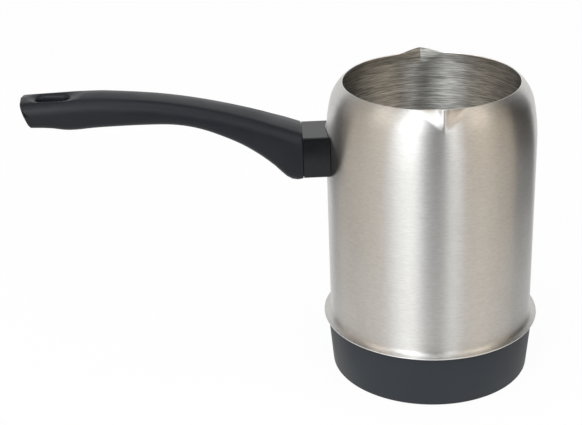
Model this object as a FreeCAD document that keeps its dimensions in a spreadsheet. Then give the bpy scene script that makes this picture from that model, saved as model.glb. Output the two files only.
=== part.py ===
"""Electric Turkish coffee pot with a cordless base: a parametric assembly in millimetres.

The pot's axis is Z, with z = 0 on the surface that it stands on.
The handle points along -X, and the two pouring lips along +Y and -Y.
"""
import FreeCAD, Part
import math
import os
import Sketcher

doc = FreeCAD.newDocument("coffee_pot")
sheet = doc.addObject("Spreadsheet::Sheet", "sizes")

SIZES = [
    # steel vessel
    ("rim_height", 140.3, "rim above the rest plane"),
    ("body_radius", 47.3, "outside, where the shoulder starts"),
    ("wall_taper", 0.4, "how far the wall narrows from the shoulder to the flared foot"),
    ("wall", 0.5, "steel of the vessel wall"),
    ("shoulder_drop", 27.9, "start of the shoulder, below the rim"),
    ("shoulder_long_radius", 90.0, "slow first curve of the shoulder"),
    ("shoulder_break", 11.7, "degrees of the slow curve"),
    ("shoulder_short_radius", 17.0, "quick second curve up to the rim"),
    ("flange_reach", 2.7, "reach of the flared foot beyond the wall"),
    ("flange_height", 26.0, "underside of the flared foot"),
    ("flare_radius", 2.5, "outside curve of the flare"),
    ("lip_reach", 42.9, "tip of a pouring lip from the axis"),
    ("lip_half_angle", 62.0, "degrees of each side of a lip to its centre line"),
    ("lip_depth", 8.0, "height over which a lip fades out"),
    ("lip_lean", 1.7, "how far its crease leans out on the way down"),
    ("lip_rise", 1.2, "tip above the rim"),
    ("lip_root_inset", 1.0, "start of a lip's rise, inside the rim's radius"),
    ("lip_tip_radius", 1.2, "crease at the tip, outside"),
    # floor and heater
    ("floor_rise", 10.0, "inside face of the vessel floor above the flare's underside"),
    ("floor_thickness", 1.0, "steel of the floor"),
    ("floor_skirt", 3.8, "turned-down edge of the floor"),
    ("spreader_radius", 33.5, "aluminium heat spreader"),
    ("spreader_thickness", 3.0, "aluminium heat spreader"),
    ("spreader_edge", 0.5, "bevel of the spreader's lower edge"),
    ("heater_ring_radius", 29.0, "centre line of the sheathed element"),
    ("heater_tube_radius", 3.2, "sheath of the element"),
    ("heater_bore_radius", 1.6, "filled bore of the sheath"),
    ("heater_bend_radius", 4.0, "bend that turns each end of the sheath down"),
    ("heater_end_drop", 1.2, "straight run of the sheath below its bend"),
    ("cold_pin_radius", 1.1, "terminal pin of the element"),
    ("cold_pin_end", 0.8, "pin beyond its brass link"),
    ("cold_pin_depth", 3.0, "pin held inside the sheath"),
    ("end_bead_radius", 2.2, "glass bead that seals the sheath"),
    ("end_bead_height", 0.8, "bead below the sheath"),
    # plastic base cup
    ("cup_inset", 2.8, "top of the cup inside the flare's edge"),
    ("cup_draft", 1.1, "how far the cup narrows down to the rest plane"),
    ("cup_edge_radius", 1.2, "rounded lower edge"),
    ("cup_gap", 0.5, "shadow line between cup and flare"),
    ("cup_wall", 2.2, "plastic of the cup"),
    ("rest_ring_width", 4.2, "annular rim that the pot stands on"),
    ("panel_height", 3.0, "underside of the bottom panel"),
    ("panel_thickness", 2.0, "bottom panel"),
    ("spigot_wall", 2.0, "ring that goes up inside the vessel"),
    ("spigot_height", 6.2, "spigot above the cup's shoulder"),
    ("spigot_clearance", 0.4, "spigot to the steel wall"),
    ("seal_height", 1.6, "square silicone ring in the spigot"),
    ("seal_depth", 1.0, "groove for the ring"),
    ("seal_edge", 0.6, "spigot above the ring"),
    ("seal_gap", 0.05, "ring to the steel wall"),
    # screws and posts of the cup
    ("post_circle", 36.6, "circle of the three posts"),
    ("post_radius", 2.4, "steel post"),
    ("post_bore", 1.25, "tapped hole of a post"),
    ("post_bore_depth", 11.0, "tapped hole of a post"),
    ("boss_radius", 4.3, "plastic boss under a post"),
    ("boss_height", 14.0, "top of a boss above the rest plane"),
    ("base_screw_radius", 1.2, "shank of a cup screw"),
    ("base_screw_length", 17.0, "shank of a cup screw"),
    ("base_screw_head", 2.8, "head radius"),
    ("base_screw_head_height", 1.8, "head height"),
    ("screw_hole_play", 0.35, "hole in plastic round a shank"),
    ("head_play", 0.4, "recess round a head"),
    ("head_ledge", 5.2, "ledge that a head pulls on, above the rest plane"),
    # cordless coupler
    ("coupler_mouth", 3.4, "lower edge of the coupler skirt"),
    ("coupler_drop", 20.0, "underside of the coupler plate, below the inside of the floor"),
    ("coupler_plate_thickness", 2.0, "coupler plate"),
    ("coupler_radius", 24.5, "rim of the coupler plate"),
    ("skirt_radius", 17.4, "outside of the socket skirt"),
    ("skirt_wall", 2.1, "plastic of the skirt"),
    ("skirt_hole_play", 0.6, "cup panel round the skirt"),
    ("core_radius", 8.0, "insulating core of the socket"),
    ("core_bore", 5.4, "well round the live pin"),
    ("core_mouth", 5.0, "lower end of the core"),
    ("live_pin_radius", 2.4, "centre pin"),
    ("live_pin_mouth", 6.0, "rounded lower end of the centre pin"),
    ("pin_shoulder_radius", 3.4, "shoulder of the centre pin under the plate"),
    ("pin_shoulder_height", 0.8, "shoulder of the centre pin under the plate"),
    ("pin_shank_radius", 2.0, "centre pin where it passes through the plate"),
    ("pin_head_radius", 3.6, "riveted head above the plate"),
    ("pin_head_height", 0.8, "riveted head above the plate"),
    ("ring_thickness", 0.6, "sheet of the contact rings"),
    ("ring_mouth", 6.2, "lower edge of the contact rings"),
    ("ring_play", 0.05, "contact ring to its plastic"),
    ("tab_width", 3.0, "tabs that pass through the plate"),
    ("tab_play", 0.1, "slot round a tab"),
    # studs that hang the coupler from the spreader
    ("stud_circle", 21.0, "circle of the three studs"),
    ("stud_radius", 1.5, "welded stud"),
    ("stud_play", 0.2, "hole round a stud"),
    ("nut_flats", 5.5, "across the flats of a nut"),
    ("nut_height", 2.4, "nut below the coupler plate"),
    ("stud_end", 1.0, "stud beyond its nut"),
    # boil-dry cut-out
    ("carrier_rise", 11.0, "underside of the carrier plate, above that of the coupler"),
    ("carrier_thickness", 2.0, "carrier plate"),
    ("carrier_radius", 24.0, "rim of the carrier plate"),
    ("sleeve_radius", 3.1, "spacer sleeve round a stud"),
    ("sleeve_gap", 0.1, "sleeve below the spreader"),
    ("pole_offset", 7.6, "each pole from the centre plane"),
    ("pin_station", -1.0, "push pin along X"),
    ("arm_root", 9.0, "pivot of a contact arm along X"),
    ("arm_reach", 19.6, "contact arm from pivot to tip"),
    ("arm_tail", 1.4, "contact arm behind its pivot"),
    ("arm_width", 4.4, "contact arm"),
    ("arm_thickness", 0.4, "contact arm"),
    ("root_rivet_radius", 1.0, "rivet at an arm's root"),
    ("arm_rise", 6.5, "upper face of a contact arm, above the coupler plate's underside"),
    ("contact_station", -8.6, "silver contacts along X"),
    ("contact_radius", 1.5, "silver contact"),
    ("contact_height", 0.7, "silver contact"),
    ("contact_gap", 0.1, "modelled gap of the closed contacts"),
    ("arm_seat_gap", 0.2, "arm above its link"),
    ("disc_radius", 6.4, "snap disc"),
    ("disc_thickness", 0.4, "snap disc"),
    ("disc_dome", 0.7, "dome of a snap disc"),
    ("disc_gap", 0.1, "disc to the spreader and to its ledge"),
    ("disc_cup_wall", 1.0, "ring that holds a disc"),
    ("disc_cup_play", 0.25, "ring round a disc"),
    ("disc_cup_gap", 0.4, "ring below the spreader"),
    ("push_pin_radius", 1.0, "ceramic push pin"),
    ("push_pin_play", 0.06, "guide hole round a push pin"),
    ("push_pin_gap", 0.25, "free play at each end of a push pin"),
    ("pin_collar_radius", 1.7, "collar that keeps a push pin in"),
    ("pin_collar_height", 1.0, "collar that keeps a push pin in"),
    ("pin_collar_gap", 0.4, "collar below the carrier plate"),
    ("strip_thickness", 0.6, "brass strips"),
    ("strip_width", 4.0, "brass strips"),
    ("strip_overlap", 1.5, "link below an arm, past the pivot"),
    ("fixed_post_station", -13.0, "riser of a fixed contact along X"),
    ("pedestal_length", 5.0, "plastic pedestal under an arm's root"),
    # handle: distances along it start at the wall, and heights at the tongue's middle
    ("handle_drop", 30.8, "tongue's middle below the rim"),
    ("collar_half_height", 9.5, "half of the collar's height"),
    ("collar_half_width", 11.35, "half of the collar's width"),
    ("collar_length", 10.7, "joint of collar and grip, from the wall"),
    ("collar_edge_radius", 0.9, "edges of the collar"),
    ("collar_wall_gap", 0.15, "collar to the steel wall"),
    ("grip_end_top", 135.3, "far end of the grip, upper edge, from the wall"),
    ("grip_end_bottom", 132.1, "far end of the grip, lower edge, from the wall"),
    ("grip_end_radius", 2.6, "rounded far end"),
    ("slot_centre", 120.9, "hanging slot, from the wall"),
    ("slot_length", 14.4, "hanging slot"),
    ("slot_width", 7.6, "hanging slot"),
    ("slot_chamfer", 1.1, "softened mouth of the slot"),
    ("bracket_thickness", 3.0, "steel tongue"),
    ("bracket_width", 12.0, "steel tongue"),
    ("bracket_bend", 13.7, "bend of the tongue, from the wall"),
    ("bracket_end", 36.7, "end of the tongue, from the wall"),
    ("bracket_end_rise", 14.0, "tongue's rise from bend to end"),
    ("saddle_thickness", 1.2, "plate welded to the pot"),
    ("saddle_half_height", 7.0, "plate welded to the pot"),
    ("saddle_half_width", 9.0, "plate welded to the pot"),
    ("weld_gap", 0.05, "plate to the steel wall"),
    ("tongue_play", 0.3, "socket round the tongue"),
    ("handle_screw_station", 27.7, "screw through the tongue, from the wall"),
    ("handle_screw_radius", 1.95, "shank of the handle screw"),
    ("handle_screw_head", 3.5, "head radius"),
    ("handle_screw_head_height", 2.4, "head height"),
    ("handle_screw_ledge", 4.2, "ledge below the tongue's middle"),
    ("handle_screw_tip", 3.0, "screw tip above the tongue's middle"),
    ("head_recess_depth", 14.0, "open well below the handle screw's head"),
    ("thread_play", 0.05, "tapped hole round a shank"),
    ("beyond", 5.0, "length that a cut reaches past its piece"),
]

# grip sections: distance from the wall, top and bottom from the tongue's middle, half width and rounding
GRIP_SECTIONS = [
    (10.85, 10.8, -10.3, 12.0, 3.4),
    (14.7, 12.2, -10.6, 12.0, 3.8),
    (18.7, 13.7, -8.5, 11.9, 4.2),
    (22.7, 15.0, -4.3, 11.7, 4.6),
    (28.7, 17.1, 0.8, 11.3, 4.8),
    (36.7, 19.6, 6.3, 10.9, 4.8),
    (45.7, 22.1, 10.9, 10.6, 4.6),
    (55.7, 24.5, 14.9, 10.4, 4.4),
    (65.7, 26.5, 17.1, 10.2, 4.3),
    (76.7, 28.2, 17.7, 10.0, 4.5),
    (87.7, 29.4, 17.7, 10.0, 4.7),
    (96.7, 30.1, 17.7, 10.0, 4.8),
    (103.7, 30.3, 17.5, 10.0, 4.8),
    (109.7, 30.3, 16.9, 10.0, 4.8),
    (115.7, 30.2, 17.2, 10.0, 4.8),
    (121.7, 30.0, 18.1, 10.0, 4.8),
    (127.7, 29.8, 18.6, 10.0, 4.8),
    (133.7, 29.6, 18.7, 10.0, 4.8),
    (139.7, 29.4, 18.7, 10.0, 4.8),
]
GRIP_FIELDS = ("place", "top", "bottom", "half", "corner")

for index, section in enumerate(GRIP_SECTIONS):
    for field, value in zip(GRIP_FIELDS, section):
        SIZES.append((f"grip_{index}_{field}", value, f"{field} of grip section {index}"))

for row, (name, value, meaning) in enumerate(SIZES, start=1):
    sheet.set(f"A{row}", name)
    sheet.set(f"B{row}", str(value))
    sheet.setAlias(f"B{row}", name)
    sheet.set(f"C{row}", meaning)
doc.recompute()

ORIGIN = FreeCAD.Vector(0, 0, 0)
UP = FreeCAD.Vector(0, 0, 1)
SIDEWAYS = FreeCAD.Vector(0, 1, 0)

# a sketch's own geometry: its two axes, and how it counts the ends of an edge
ACROSS_AXIS = -1
UP_AXIS = -2
START_POINT = 1
END_POINT = 2


def s(name):
    """A cell of the sheet, as an expression."""
    return f"sizes.{name}"


def number(expression):
    """The present value of an expression."""
    return float(sheet.evalExpression(str(expression)))


def bind(item, **places):
    """Bind properties, such as Radius or Height, to expressions."""
    for name, expression in places.items():
        item.setExpression(name, str(expression))
    return item


def place(item, x="0", y="0", z="0"):
    """Bind an object's position to expressions."""
    for axis, expression in (("x", x), ("y", y), ("z", z)):
        item.setExpression(f".Placement.Base.{axis}", str(expression))
    return item


def cylinder(name, radius, height, x="0", y="0", z="0"):
    item = doc.addObject("Part::Cylinder", name)
    bind(item, Radius=radius, Height=height)
    return place(item, x, y, z)


def box(name, length, width, height, x, y, z):
    item = doc.addObject("Part::Box", name)
    bind(item, Length=length, Width=width, Height=height)
    return place(item, x, y, z)


def fuse(name, items):
    item = doc.addObject("Part::MultiFuse", name)
    item.Shapes = items
    return item


def cut(name, base, tool):
    item = doc.addObject("Part::Cut", name)
    item.Base = base
    item.Tool = tool
    return item


def group(name, items):
    item = doc.addObject("Part::Compound", name)
    item.Links = items
    return item


def body(name):
    return doc.addObject("PartDesign::Body", name)


def plane_of(owner, role):
    return [item for item in owner.Origin.OriginFeatures if item.Role == role][0]


def outline(owner, name, role, corners, offset=None, axis="z"):
    """A closed outline. A corner is (across, up), or (across, up, radius, turn) where an arc leads on.

    turn is +1 for an arc that turns left on its way to the next corner and -1 for one that turns right.
    """
    sketch = owner.newObject("Sketcher::SketchObject", name)
    sketch.AttachmentSupport = [(plane_of(owner, role), "")]
    sketch.MapMode = "FlatFace"
    if offset is not None:
        sketch.setExpression(f".AttachmentOffset.Base.{axis}", offset)
    points = [FreeCAD.Vector(number(c[0]), number(c[1]), 0) for c in corners]
    starts = []
    for index, corner in enumerate(corners):
        here = points[index]
        there = points[(index + 1) % len(points)]
        if len(corner) == 2:
            sketch.addGeometry(Part.LineSegment(here, there))
            starts.append(START_POINT)
            continue
        radius = number(corner[2])
        turn = corner[3]
        chord = there - here
        side = FreeCAD.Vector(-chord.y, chord.x, 0) * turn
        side.normalize()
        rise = math.sqrt(max(radius**2 - (chord.Length / 2) ** 2, 0))
        centre = (here + there) * 0.5 + side * rise
        first, last = (here, there) if turn > 0 else (there, here)
        angle_first = math.atan2(first.y - centre.y, first.x - centre.x)
        angle_last = math.atan2(last.y - centre.y, last.x - centre.x)
        if angle_last < angle_first:
            angle_last += 2 * math.pi
        circle = Part.Circle(centre, UP, radius)
        sketch.addGeometry(Part.ArcOfCircle(circle, angle_first, angle_last))
        starts.append(START_POINT if turn > 0 else END_POINT)
    for index, corner in enumerate(corners):
        following = (index + 1) % len(corners)
        end = END_POINT if starts[index] == START_POINT else START_POINT
        sketch.addConstraint(Sketcher.Constraint("Coincident", index, end, following, starts[following]))
        for value, kind, line in ((corner[0], "DistanceX", UP_AXIS), (corner[1], "DistanceY", ACROSS_AXIS)):
            if str(value) == "0":
                sketch.addConstraint(Sketcher.Constraint("PointOnObject", index, starts[index], line))
                continue
            measure = Sketcher.Constraint(kind, ACROSS_AXIS, START_POINT, index, starts[index],
                                          number(value))
            at = sketch.addConstraint(measure)
            sketch.setExpression(f"Constraints[{at}]", str(value))
        if len(corner) == 4:
            at = sketch.addConstraint(Sketcher.Constraint("Radius", index, number(corner[2])))
            sketch.setExpression(f"Constraints[{at}]", str(corner[2]))
    return sketch


def revolve(owner, name, corners, kind="PartDesign::Revolution"):
    """Turn an outline in the XZ plane once round the pot's axis."""
    sketch = outline(owner, f"{name}_outline", "XZ_Plane", corners)
    item = owner.newObject(kind, name)
    item.Profile = sketch
    item.ReferenceAxis = (sketch, ["V_Axis"])
    item.Angle = 360
    return item


def pad(owner, name, role, corners, length, kind="PartDesign::Pad", offset=None, middle=True):
    """Extrude an outline, evenly to both sides of its plane unless middle is False."""
    sketch = outline(owner, f"{name}_outline", role, corners, offset)
    item = owner.newObject(kind, name)
    item.Profile = sketch
    item.setExpression("Length", length)
    item.Midplane = middle
    return item


def at_angle(radius, degrees):
    """X and Y expressions of a point on a circle round the axis."""
    return f"({radius}) * cos({degrees})", f"({radius}) * sin({degrees})"


def tube(name, outer, inner, height, x="0", y="0", z="0"):
    """A plain ring: one cylinder less another."""
    whole = cylinder(f"{name}_outer", outer, height, x, y, z)
    core = cylinder(f"{name}_core", inner, height, x, y, z)
    return cut(name, whole, core)


THREE_ANGLES = (60, 180, 300)
POLES = {"line": 1, "neutral": -1}
NUT_SIDES = 6

SHOULDER_START = f"({s('rim_height')} - {s('shoulder_drop')})"
FOOT_RADIUS = f"({s('body_radius')} - {s('wall_taper')})"
FLANGE_RADIUS = f"({s('body_radius')} + {s('flange_reach')})"
FLARE_CENTRE = f"({FOOT_RADIUS} + {s('flare_radius')})"
FLARE_LEVEL = f"({s('flange_height')} + {s('wall')} + {s('flare_radius')})"
LIP_FOOT = f"({s('rim_height')} - {s('lip_depth')})"
LIP_TOP = f"({s('rim_height')} + {s('lip_rise')})"


# vessel: the inside is the outside less one wall, so both come from the same expressions
def wall_corners(inset):
    """The wall from the foot of its straight part up to the rim, inset by a wall or not."""
    long_radius = f"({s('shoulder_long_radius')} - {inset})"
    short_radius = f"({s('shoulder_short_radius')} - {inset})"
    long_centre = f"({s('body_radius')} - {s('shoulder_long_radius')})"
    leap = f"({s('shoulder_long_radius')} - {s('shoulder_short_radius')})"
    cosine = f"cos({s('shoulder_break')})"
    sine = f"sin({s('shoulder_break')})"
    short_centre = f"({long_centre} + {leap} * {cosine})"
    short_level = f"({SHOULDER_START} + {leap} * {sine})"
    rim = f"{short_centre} + sqrt({short_radius}^2 - ({s('rim_height')} - {short_level})^2)"
    break_across = f"{long_centre} + {long_radius} * {cosine}"
    break_up = f"{SHOULDER_START} + {long_radius} * {sine}"
    return [
        (f"{FOOT_RADIUS} - {inset}", FLARE_LEVEL),
        (f"{s('body_radius')} - {inset}", SHOULDER_START, long_radius, 1),
        (break_across, break_up, short_radius, 1),
        (rim, s("rim_height")),
    ]


def lip_section(owner, name, side, inset, level, reach):
    """Pointed section of a pouring lip, from a heel inside the pot to a rounded tip on +Y or -Y."""
    tip_radius = f"({s('lip_tip_radius')} - {inset})"
    half_angle = s("lip_half_angle")
    across = f"({tip_radius} * cos({half_angle}))"
    forward = f"({reach} - {s('lip_tip_radius')} + {tip_radius} * sin({half_angle}))"
    heel = f"({s('lip_reach')} / 2)"
    heel_across = f"({across} + ({forward} - {heel}) * tan({half_angle}))"
    corners = [
        (heel_across, f"{side} * {heel}"),
        (across, f"{side} * {forward}", tip_radius, side),
        (f"-{across}", f"{side} * {forward}"),
        (f"-{heel_across}", f"{side} * {heel}"),
    ]
    return outline(owner, name, "XY_Plane", corners, offset=level)


def lip(owner, name, side, inset, kind):
    """A lip's wedge, which fades into the shoulder below."""
    foot_reach = f"({s('lip_reach')} + {s('lip_lean')})"
    top = lip_section(owner, f"{name}_top", side, inset, f"{LIP_TOP} + {s('wall')}", s("lip_reach"))
    foot = lip_section(owner, f"{name}_foot", side, inset, LIP_FOOT, foot_reach)
    item = owner.newObject(kind, name)
    item.Profile = top
    item.Sections = [foot]
    item.Ruled = True
    return item


RIM_RADIUS = f"({wall_corners('0')[-1][0]})"
LIP_ROOT = f"({RIM_RADIUS} - {s('lip_root_inset')})"


def vessel_body():
    owner = body("vessel_body")
    edge_radius = f"({s('wall')} / 2)"
    edge_across = f"{FLANGE_RADIUS} - {edge_radius}"
    edge_top = f"{s('flange_height')} + {s('wall')}"
    revolve(owner, "vessel_outside", [
        ("0", s("flange_height")),
        (edge_across, s("flange_height"), edge_radius, 1),
        (FLANGE_RADIUS, f"{s('flange_height')} + {edge_radius}", edge_radius, 1),
        (edge_across, edge_top),
        (FLARE_CENTRE, edge_top, s("flare_radius"), -1),
        *wall_corners("0"),
        ("0", s("rim_height")),
    ])
    for side, word in ((1, "left"), (-1, "right")):
        lip(owner, f"{word}_lip_outside", side, "0", "PartDesign::AdditiveLoft")
    doc.recompute()
    inner = wall_corners(s("wall"))
    revolve(owner, "vessel_inside", [
        ("0", f"{s('flange_height')} - {s('beyond')}"),
        (FLARE_CENTRE, f"{s('flange_height')} - {s('beyond')}"),
        (FLARE_CENTRE, s("flange_height"), f"{s('flare_radius')} + {s('wall')}", -1),
        *inner,
        (inner[-1][0], f"{LIP_TOP} + {s('beyond')}"),
        ("0", f"{LIP_TOP} + {s('beyond')}"),
    ], "PartDesign::Groove")
    for side, word in ((1, "left"), (-1, "right")):
        lip(owner, f"{word}_lip_inside", side, s("wall"), "PartDesign::SubtractiveLoft")
    doc.recompute()
    far = f"({s('lip_reach')} + {s('beyond')})"
    trim = [
        (f"-{far}", f"{LIP_TOP} + {s('beyond')}"),
        (f"-{far}", LIP_TOP),
        (f"-{s('lip_reach')}", LIP_TOP),
        (f"-{LIP_ROOT}", s("rim_height")),
        (LIP_ROOT, s("rim_height")),
        (s("lip_reach"), LIP_TOP),
        (far, LIP_TOP),
        (far, f"{LIP_TOP} + {s('beyond')}"),
    ]
    pad(owner, "rim_trim", "YZ_Plane", trim, f"2 * {FLANGE_RADIUS}", "PartDesign::Pocket")
    return owner


FLOOR_LEVEL = f"({s('flange_height')} + {s('floor_rise')})"


def vessel_floor():
    """Pressed disc whose turned-down edge is seam-welded to the wall."""
    owner = body("vessel_floor")
    edge = f"({FOOT_RADIUS} - {s('wall')} - {s('weld_gap')})"
    top = FLOOR_LEVEL
    steel = s("floor_thickness")
    revolve(owner, "floor", [
        ("0", f"{top} - {steel}"),
        (f"{edge} - 2 * {steel}", f"{top} - {steel}", steel, -1),
        (f"{edge} - {steel}", f"{top} - 2 * {steel}"),
        (f"{edge} - {steel}", f"{top} - {s('floor_skirt')}"),
        (edge, f"{top} - {s('floor_skirt')}"),
        (edge, f"{top} - 2 * {steel}", f"2 * {steel}", 1),
        (f"{edge} - 2 * {steel}", top),
        ("0", top),
    ])
    return owner


SPREADER_TOP = f"({FLOOR_LEVEL} - {s('floor_thickness')})"
SPREADER_UNDERSIDE = f"({SPREADER_TOP} - {s('spreader_thickness')})"


def heat_spreader():
    owner = body("heat_spreader")
    edge = s("spreader_edge")
    revolve(owner, "spreader", [
        ("0", SPREADER_UNDERSIDE),
        (f"{s('spreader_radius')} - {edge}", SPREADER_UNDERSIDE),
        (s("spreader_radius"), f"{SPREADER_UNDERSIDE} + {edge}"),
        (s("spreader_radius"), SPREADER_TOP),
        ("0", SPREADER_TOP),
    ])
    return owner


# the element's ring is open towards +X, where both ends turn down in line with the two poles
RING_SPAN = f"sqrt({s('heater_ring_radius')}^2 + {s('heater_bend_radius')}^2)"
RING_END_ANGLE = (
    f"(atan({s('heater_bend_radius')} / {s('heater_ring_radius')}) + asin({s('pole_offset')} / {RING_SPAN}))"
)
COLD_PIN_STATION = (
    f"({s('heater_ring_radius')} * cos({RING_END_ANGLE}) + {s('heater_bend_radius')} * sin({RING_END_ANGLE}))"
)
RING_LEVEL = f"({SPREADER_UNDERSIDE} - {s('heater_tube_radius')})"
SHEATH_END = f"({RING_LEVEL} - {s('heater_bend_radius')} - {s('heater_end_drop')})"


def heater_sheath():
    """Round tube along a ring, a bend down at each end and a short straight run."""
    ring = number(s("heater_ring_radius"))
    bend = number(s("heater_bend_radius"))
    level = number(RING_LEVEL)
    end = number(SHEATH_END)
    angle = math.radians(number(RING_END_ANGLE))
    half_bend = math.sqrt(0.5)

    def ends(side):
        """Ring's end, middle of the bend, start and end of the straight run."""
        start = FreeCAD.Vector(ring * math.cos(angle), side * ring * math.sin(angle), level)
        onward = FreeCAD.Vector(math.sin(angle), -side * math.cos(angle), 0)
        middle = start + onward * bend * half_bend - UP * bend * (1 - half_bend)
        below = start + onward * bend - UP * bend
        return start, middle, below, FreeCAD.Vector(below.x, below.y, end)

    first, first_middle, first_below, first_end = ends(1)
    last, last_middle, last_below, last_end = ends(-1)
    path = Part.Wire([
        Part.LineSegment(first_end, first_below).toShape(),
        Part.Arc(first_below, first_middle, first).toShape(),
        Part.Arc(first, FreeCAD.Vector(-ring, 0, level), last).toShape(),
        Part.Arc(last, last_middle, last_below).toShape(),
        Part.LineSegment(last_below, last_end).toShape(),
    ])
    circle = Part.Wire(Part.Circle(first_end, UP, number(s("heater_tube_radius"))).toShape())
    item = doc.addObject("Part::Feature", "heater_sheath")
    item.Shape = path.makePipeShell([circle], True, True)
    return item


def heater():
    """Sheath with a drilled end for each terminal pin, the pins and their beads."""
    holes = []
    pins = []
    beads = []
    pin_foot = f"({LINK_TOP} - {s('strip_thickness')} - {s('cold_pin_end')})"
    pin_top = f"({SHEATH_END} + {s('cold_pin_depth')})"
    bead_foot = f"({SHEATH_END} - {s('end_bead_height')})"
    bead_bore = f"{s('cold_pin_radius')} + {s('thread_play')}"
    for pole, side in POLES.items():
        y = f"{side} * {s('pole_offset')}"
        holes.append(cylinder(f"{pole}_end_hole", s("heater_bore_radius"), s("cold_pin_depth"),
                              COLD_PIN_STATION, y, SHEATH_END))
        pins.append(cylinder(f"{pole}_cold_pin", s("cold_pin_radius"), f"{pin_top} - {pin_foot}",
                             COLD_PIN_STATION, y, pin_foot))
        beads.append(tube(f"{pole}_end_bead", s("end_bead_radius"), bead_bore, s("end_bead_height"),
                          COLD_PIN_STATION, y, bead_foot))
    sheath = cut("heater_tube", heater_sheath(), fuse("heater_end_holes", holes))
    return sheath, group("heater_cold_pins", pins), group("heater_end_beads", beads)


# base cup
CUP_TOP_RADIUS = f"({FLANGE_RADIUS} - {s('cup_inset')})"
CUP_FOOT_RADIUS = f"({CUP_TOP_RADIUS} - {s('cup_draft')})"
CUP_SHOULDER = f"({s('flange_height')} - {s('cup_gap')})"
SPIGOT_RADIUS = f"({FOOT_RADIUS} - {s('wall')} - {s('spigot_clearance')})"
SPIGOT_TOP = f"({CUP_SHOULDER} + {s('spigot_height')})"
SEAL_TOP = f"({SPIGOT_TOP} - {s('seal_edge')})"
SEAL_FOOT = f"({SEAL_TOP} - {s('seal_height')})"
SEAL_BED = f"({SPIGOT_RADIUS} - {s('seal_depth')})"
PANEL_TOP = f"({s('panel_height')} + {s('panel_thickness')})"


def base_cup():
    shell = body("cup_shell")
    rest_inner = f"{CUP_FOOT_RADIUS} - {s('rest_ring_width')}"
    revolve(shell, "cup", [
        (rest_inner, "0"),
        (f"{CUP_FOOT_RADIUS} - {s('cup_edge_radius')}", "0", s("cup_edge_radius"), 1),
        (CUP_FOOT_RADIUS, s("cup_edge_radius")),
        (CUP_TOP_RADIUS, CUP_SHOULDER),
        (SPIGOT_RADIUS, CUP_SHOULDER),
        (SPIGOT_RADIUS, SEAL_FOOT),
        (SEAL_BED, SEAL_FOOT),
        (SEAL_BED, SEAL_TOP),
        (SPIGOT_RADIUS, SEAL_TOP),
        (SPIGOT_RADIUS, SPIGOT_TOP),
        (f"{SPIGOT_RADIUS} - {s('spigot_wall')}", SPIGOT_TOP),
        (f"{CUP_FOOT_RADIUS} - {s('cup_wall')}", PANEL_TOP),
        (f"{s('skirt_radius')} + {s('skirt_hole_play')}", PANEL_TOP),
        (f"{s('skirt_radius')} + {s('skirt_hole_play')}", s("panel_height")),
        (rest_inner, s("panel_height")),
    ])
    solids = [shell]
    holes = []
    for angle in THREE_ANGLES:
        x, y = at_angle(s("post_circle"), angle)
        solids.append(cylinder(f"boss_{angle}", s("boss_radius"), f"{s('boss_height')} - {s('panel_height')}",
                               x, y, s("panel_height")))
        holes.append(cylinder(f"boss_hole_{angle}", f"{s('base_screw_radius')} + {s('screw_hole_play')}",
                              s("boss_height"), x, y))
        holes.append(cylinder(f"head_recess_{angle}", f"{s('base_screw_head')} + {s('head_play')}",
                              s("head_ledge"), x, y))
    return cut("base_cup", fuse("cup_with_bosses", solids), fuse("boss_holes", holes))


def base_seal():
    """Square silicone ring in the spigot's groove."""
    owner = body("base_seal")
    outer = f"{FOOT_RADIUS} - {s('wall')} - {s('seal_gap')}"
    revolve(owner, "seal", [
        (SEAL_BED, SEAL_FOOT),
        (outer, SEAL_FOOT),
        (outer, SEAL_TOP),
        (SEAL_BED, SEAL_TOP),
    ])
    return owner


def base_fixings():
    """Three posts welded under the floor, and the screws that pull the cup up to them."""
    posts = []
    screws = []
    for angle in THREE_ANGLES:
        x, y = at_angle(s("post_circle"), angle)
        post = cylinder(f"post_{angle}", s("post_radius"), f"{SPREADER_TOP} - {s('boss_height')}",
                        x, y, s("boss_height"))
        bore = cylinder(f"post_bore_{angle}", s("post_bore"), s("post_bore_depth"), x, y, s("boss_height"))
        posts.append(cut(f"tapped_post_{angle}", post, bore))
        shank = cylinder(f"screw_shank_{angle}", s("base_screw_radius"), s("base_screw_length"),
                         x, y, s("head_ledge"))
        head = cylinder(f"screw_head_{angle}", s("base_screw_head"), s("base_screw_head_height"),
                        x, y, f"{s('head_ledge')} - {s('base_screw_head_height')}")
        screws.append(fuse(f"base_screw_{angle}", [shank, head]))
    return group("base_posts", posts), group("base_screws", screws)


# coupler: the pot's half of the cordless joint, open downwards and hung from the floor
COUPLER_PLATE = f"({FLOOR_LEVEL} - {s('coupler_drop')})"
CARRIER_PLATE = f"({COUPLER_PLATE} + {s('carrier_rise')})"
ARM_LEVEL = f"({COUPLER_PLATE} + {s('arm_rise')})"
PLATE_TOP = f"({COUPLER_PLATE} + {s('coupler_plate_thickness')})"
STRIP_TOP = f"({PLATE_TOP} + {s('strip_thickness')})"
SKIRT_INSIDE = f"({s('skirt_radius')} - {s('skirt_wall')})"
NEUTRAL_INSIDE = f"({s('core_radius')} + {s('ring_play')})"
NEUTRAL_OUTSIDE = f"({NEUTRAL_INSIDE} + {s('ring_thickness')})"
EARTH_OUTSIDE = f"({SKIRT_INSIDE} - {s('ring_play')})"
EARTH_INSIDE = f"({EARTH_OUTSIDE} - {s('ring_thickness')})"
ARM_UNDERSIDE = f"({ARM_LEVEL} - {s('arm_thickness')})"
LINK_TOP = f"({ARM_UNDERSIDE} - {s('arm_seat_gap')})"
LINK_START = f"({s('arm_root')} - {s('strip_overlap')})"
EARTH_ANGLE = THREE_ANGLES[0]
NEUTRAL_ANGLE = 270
TAB_ROOT = f"({COUPLER_PLATE} - {s('strip_width')})"


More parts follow.
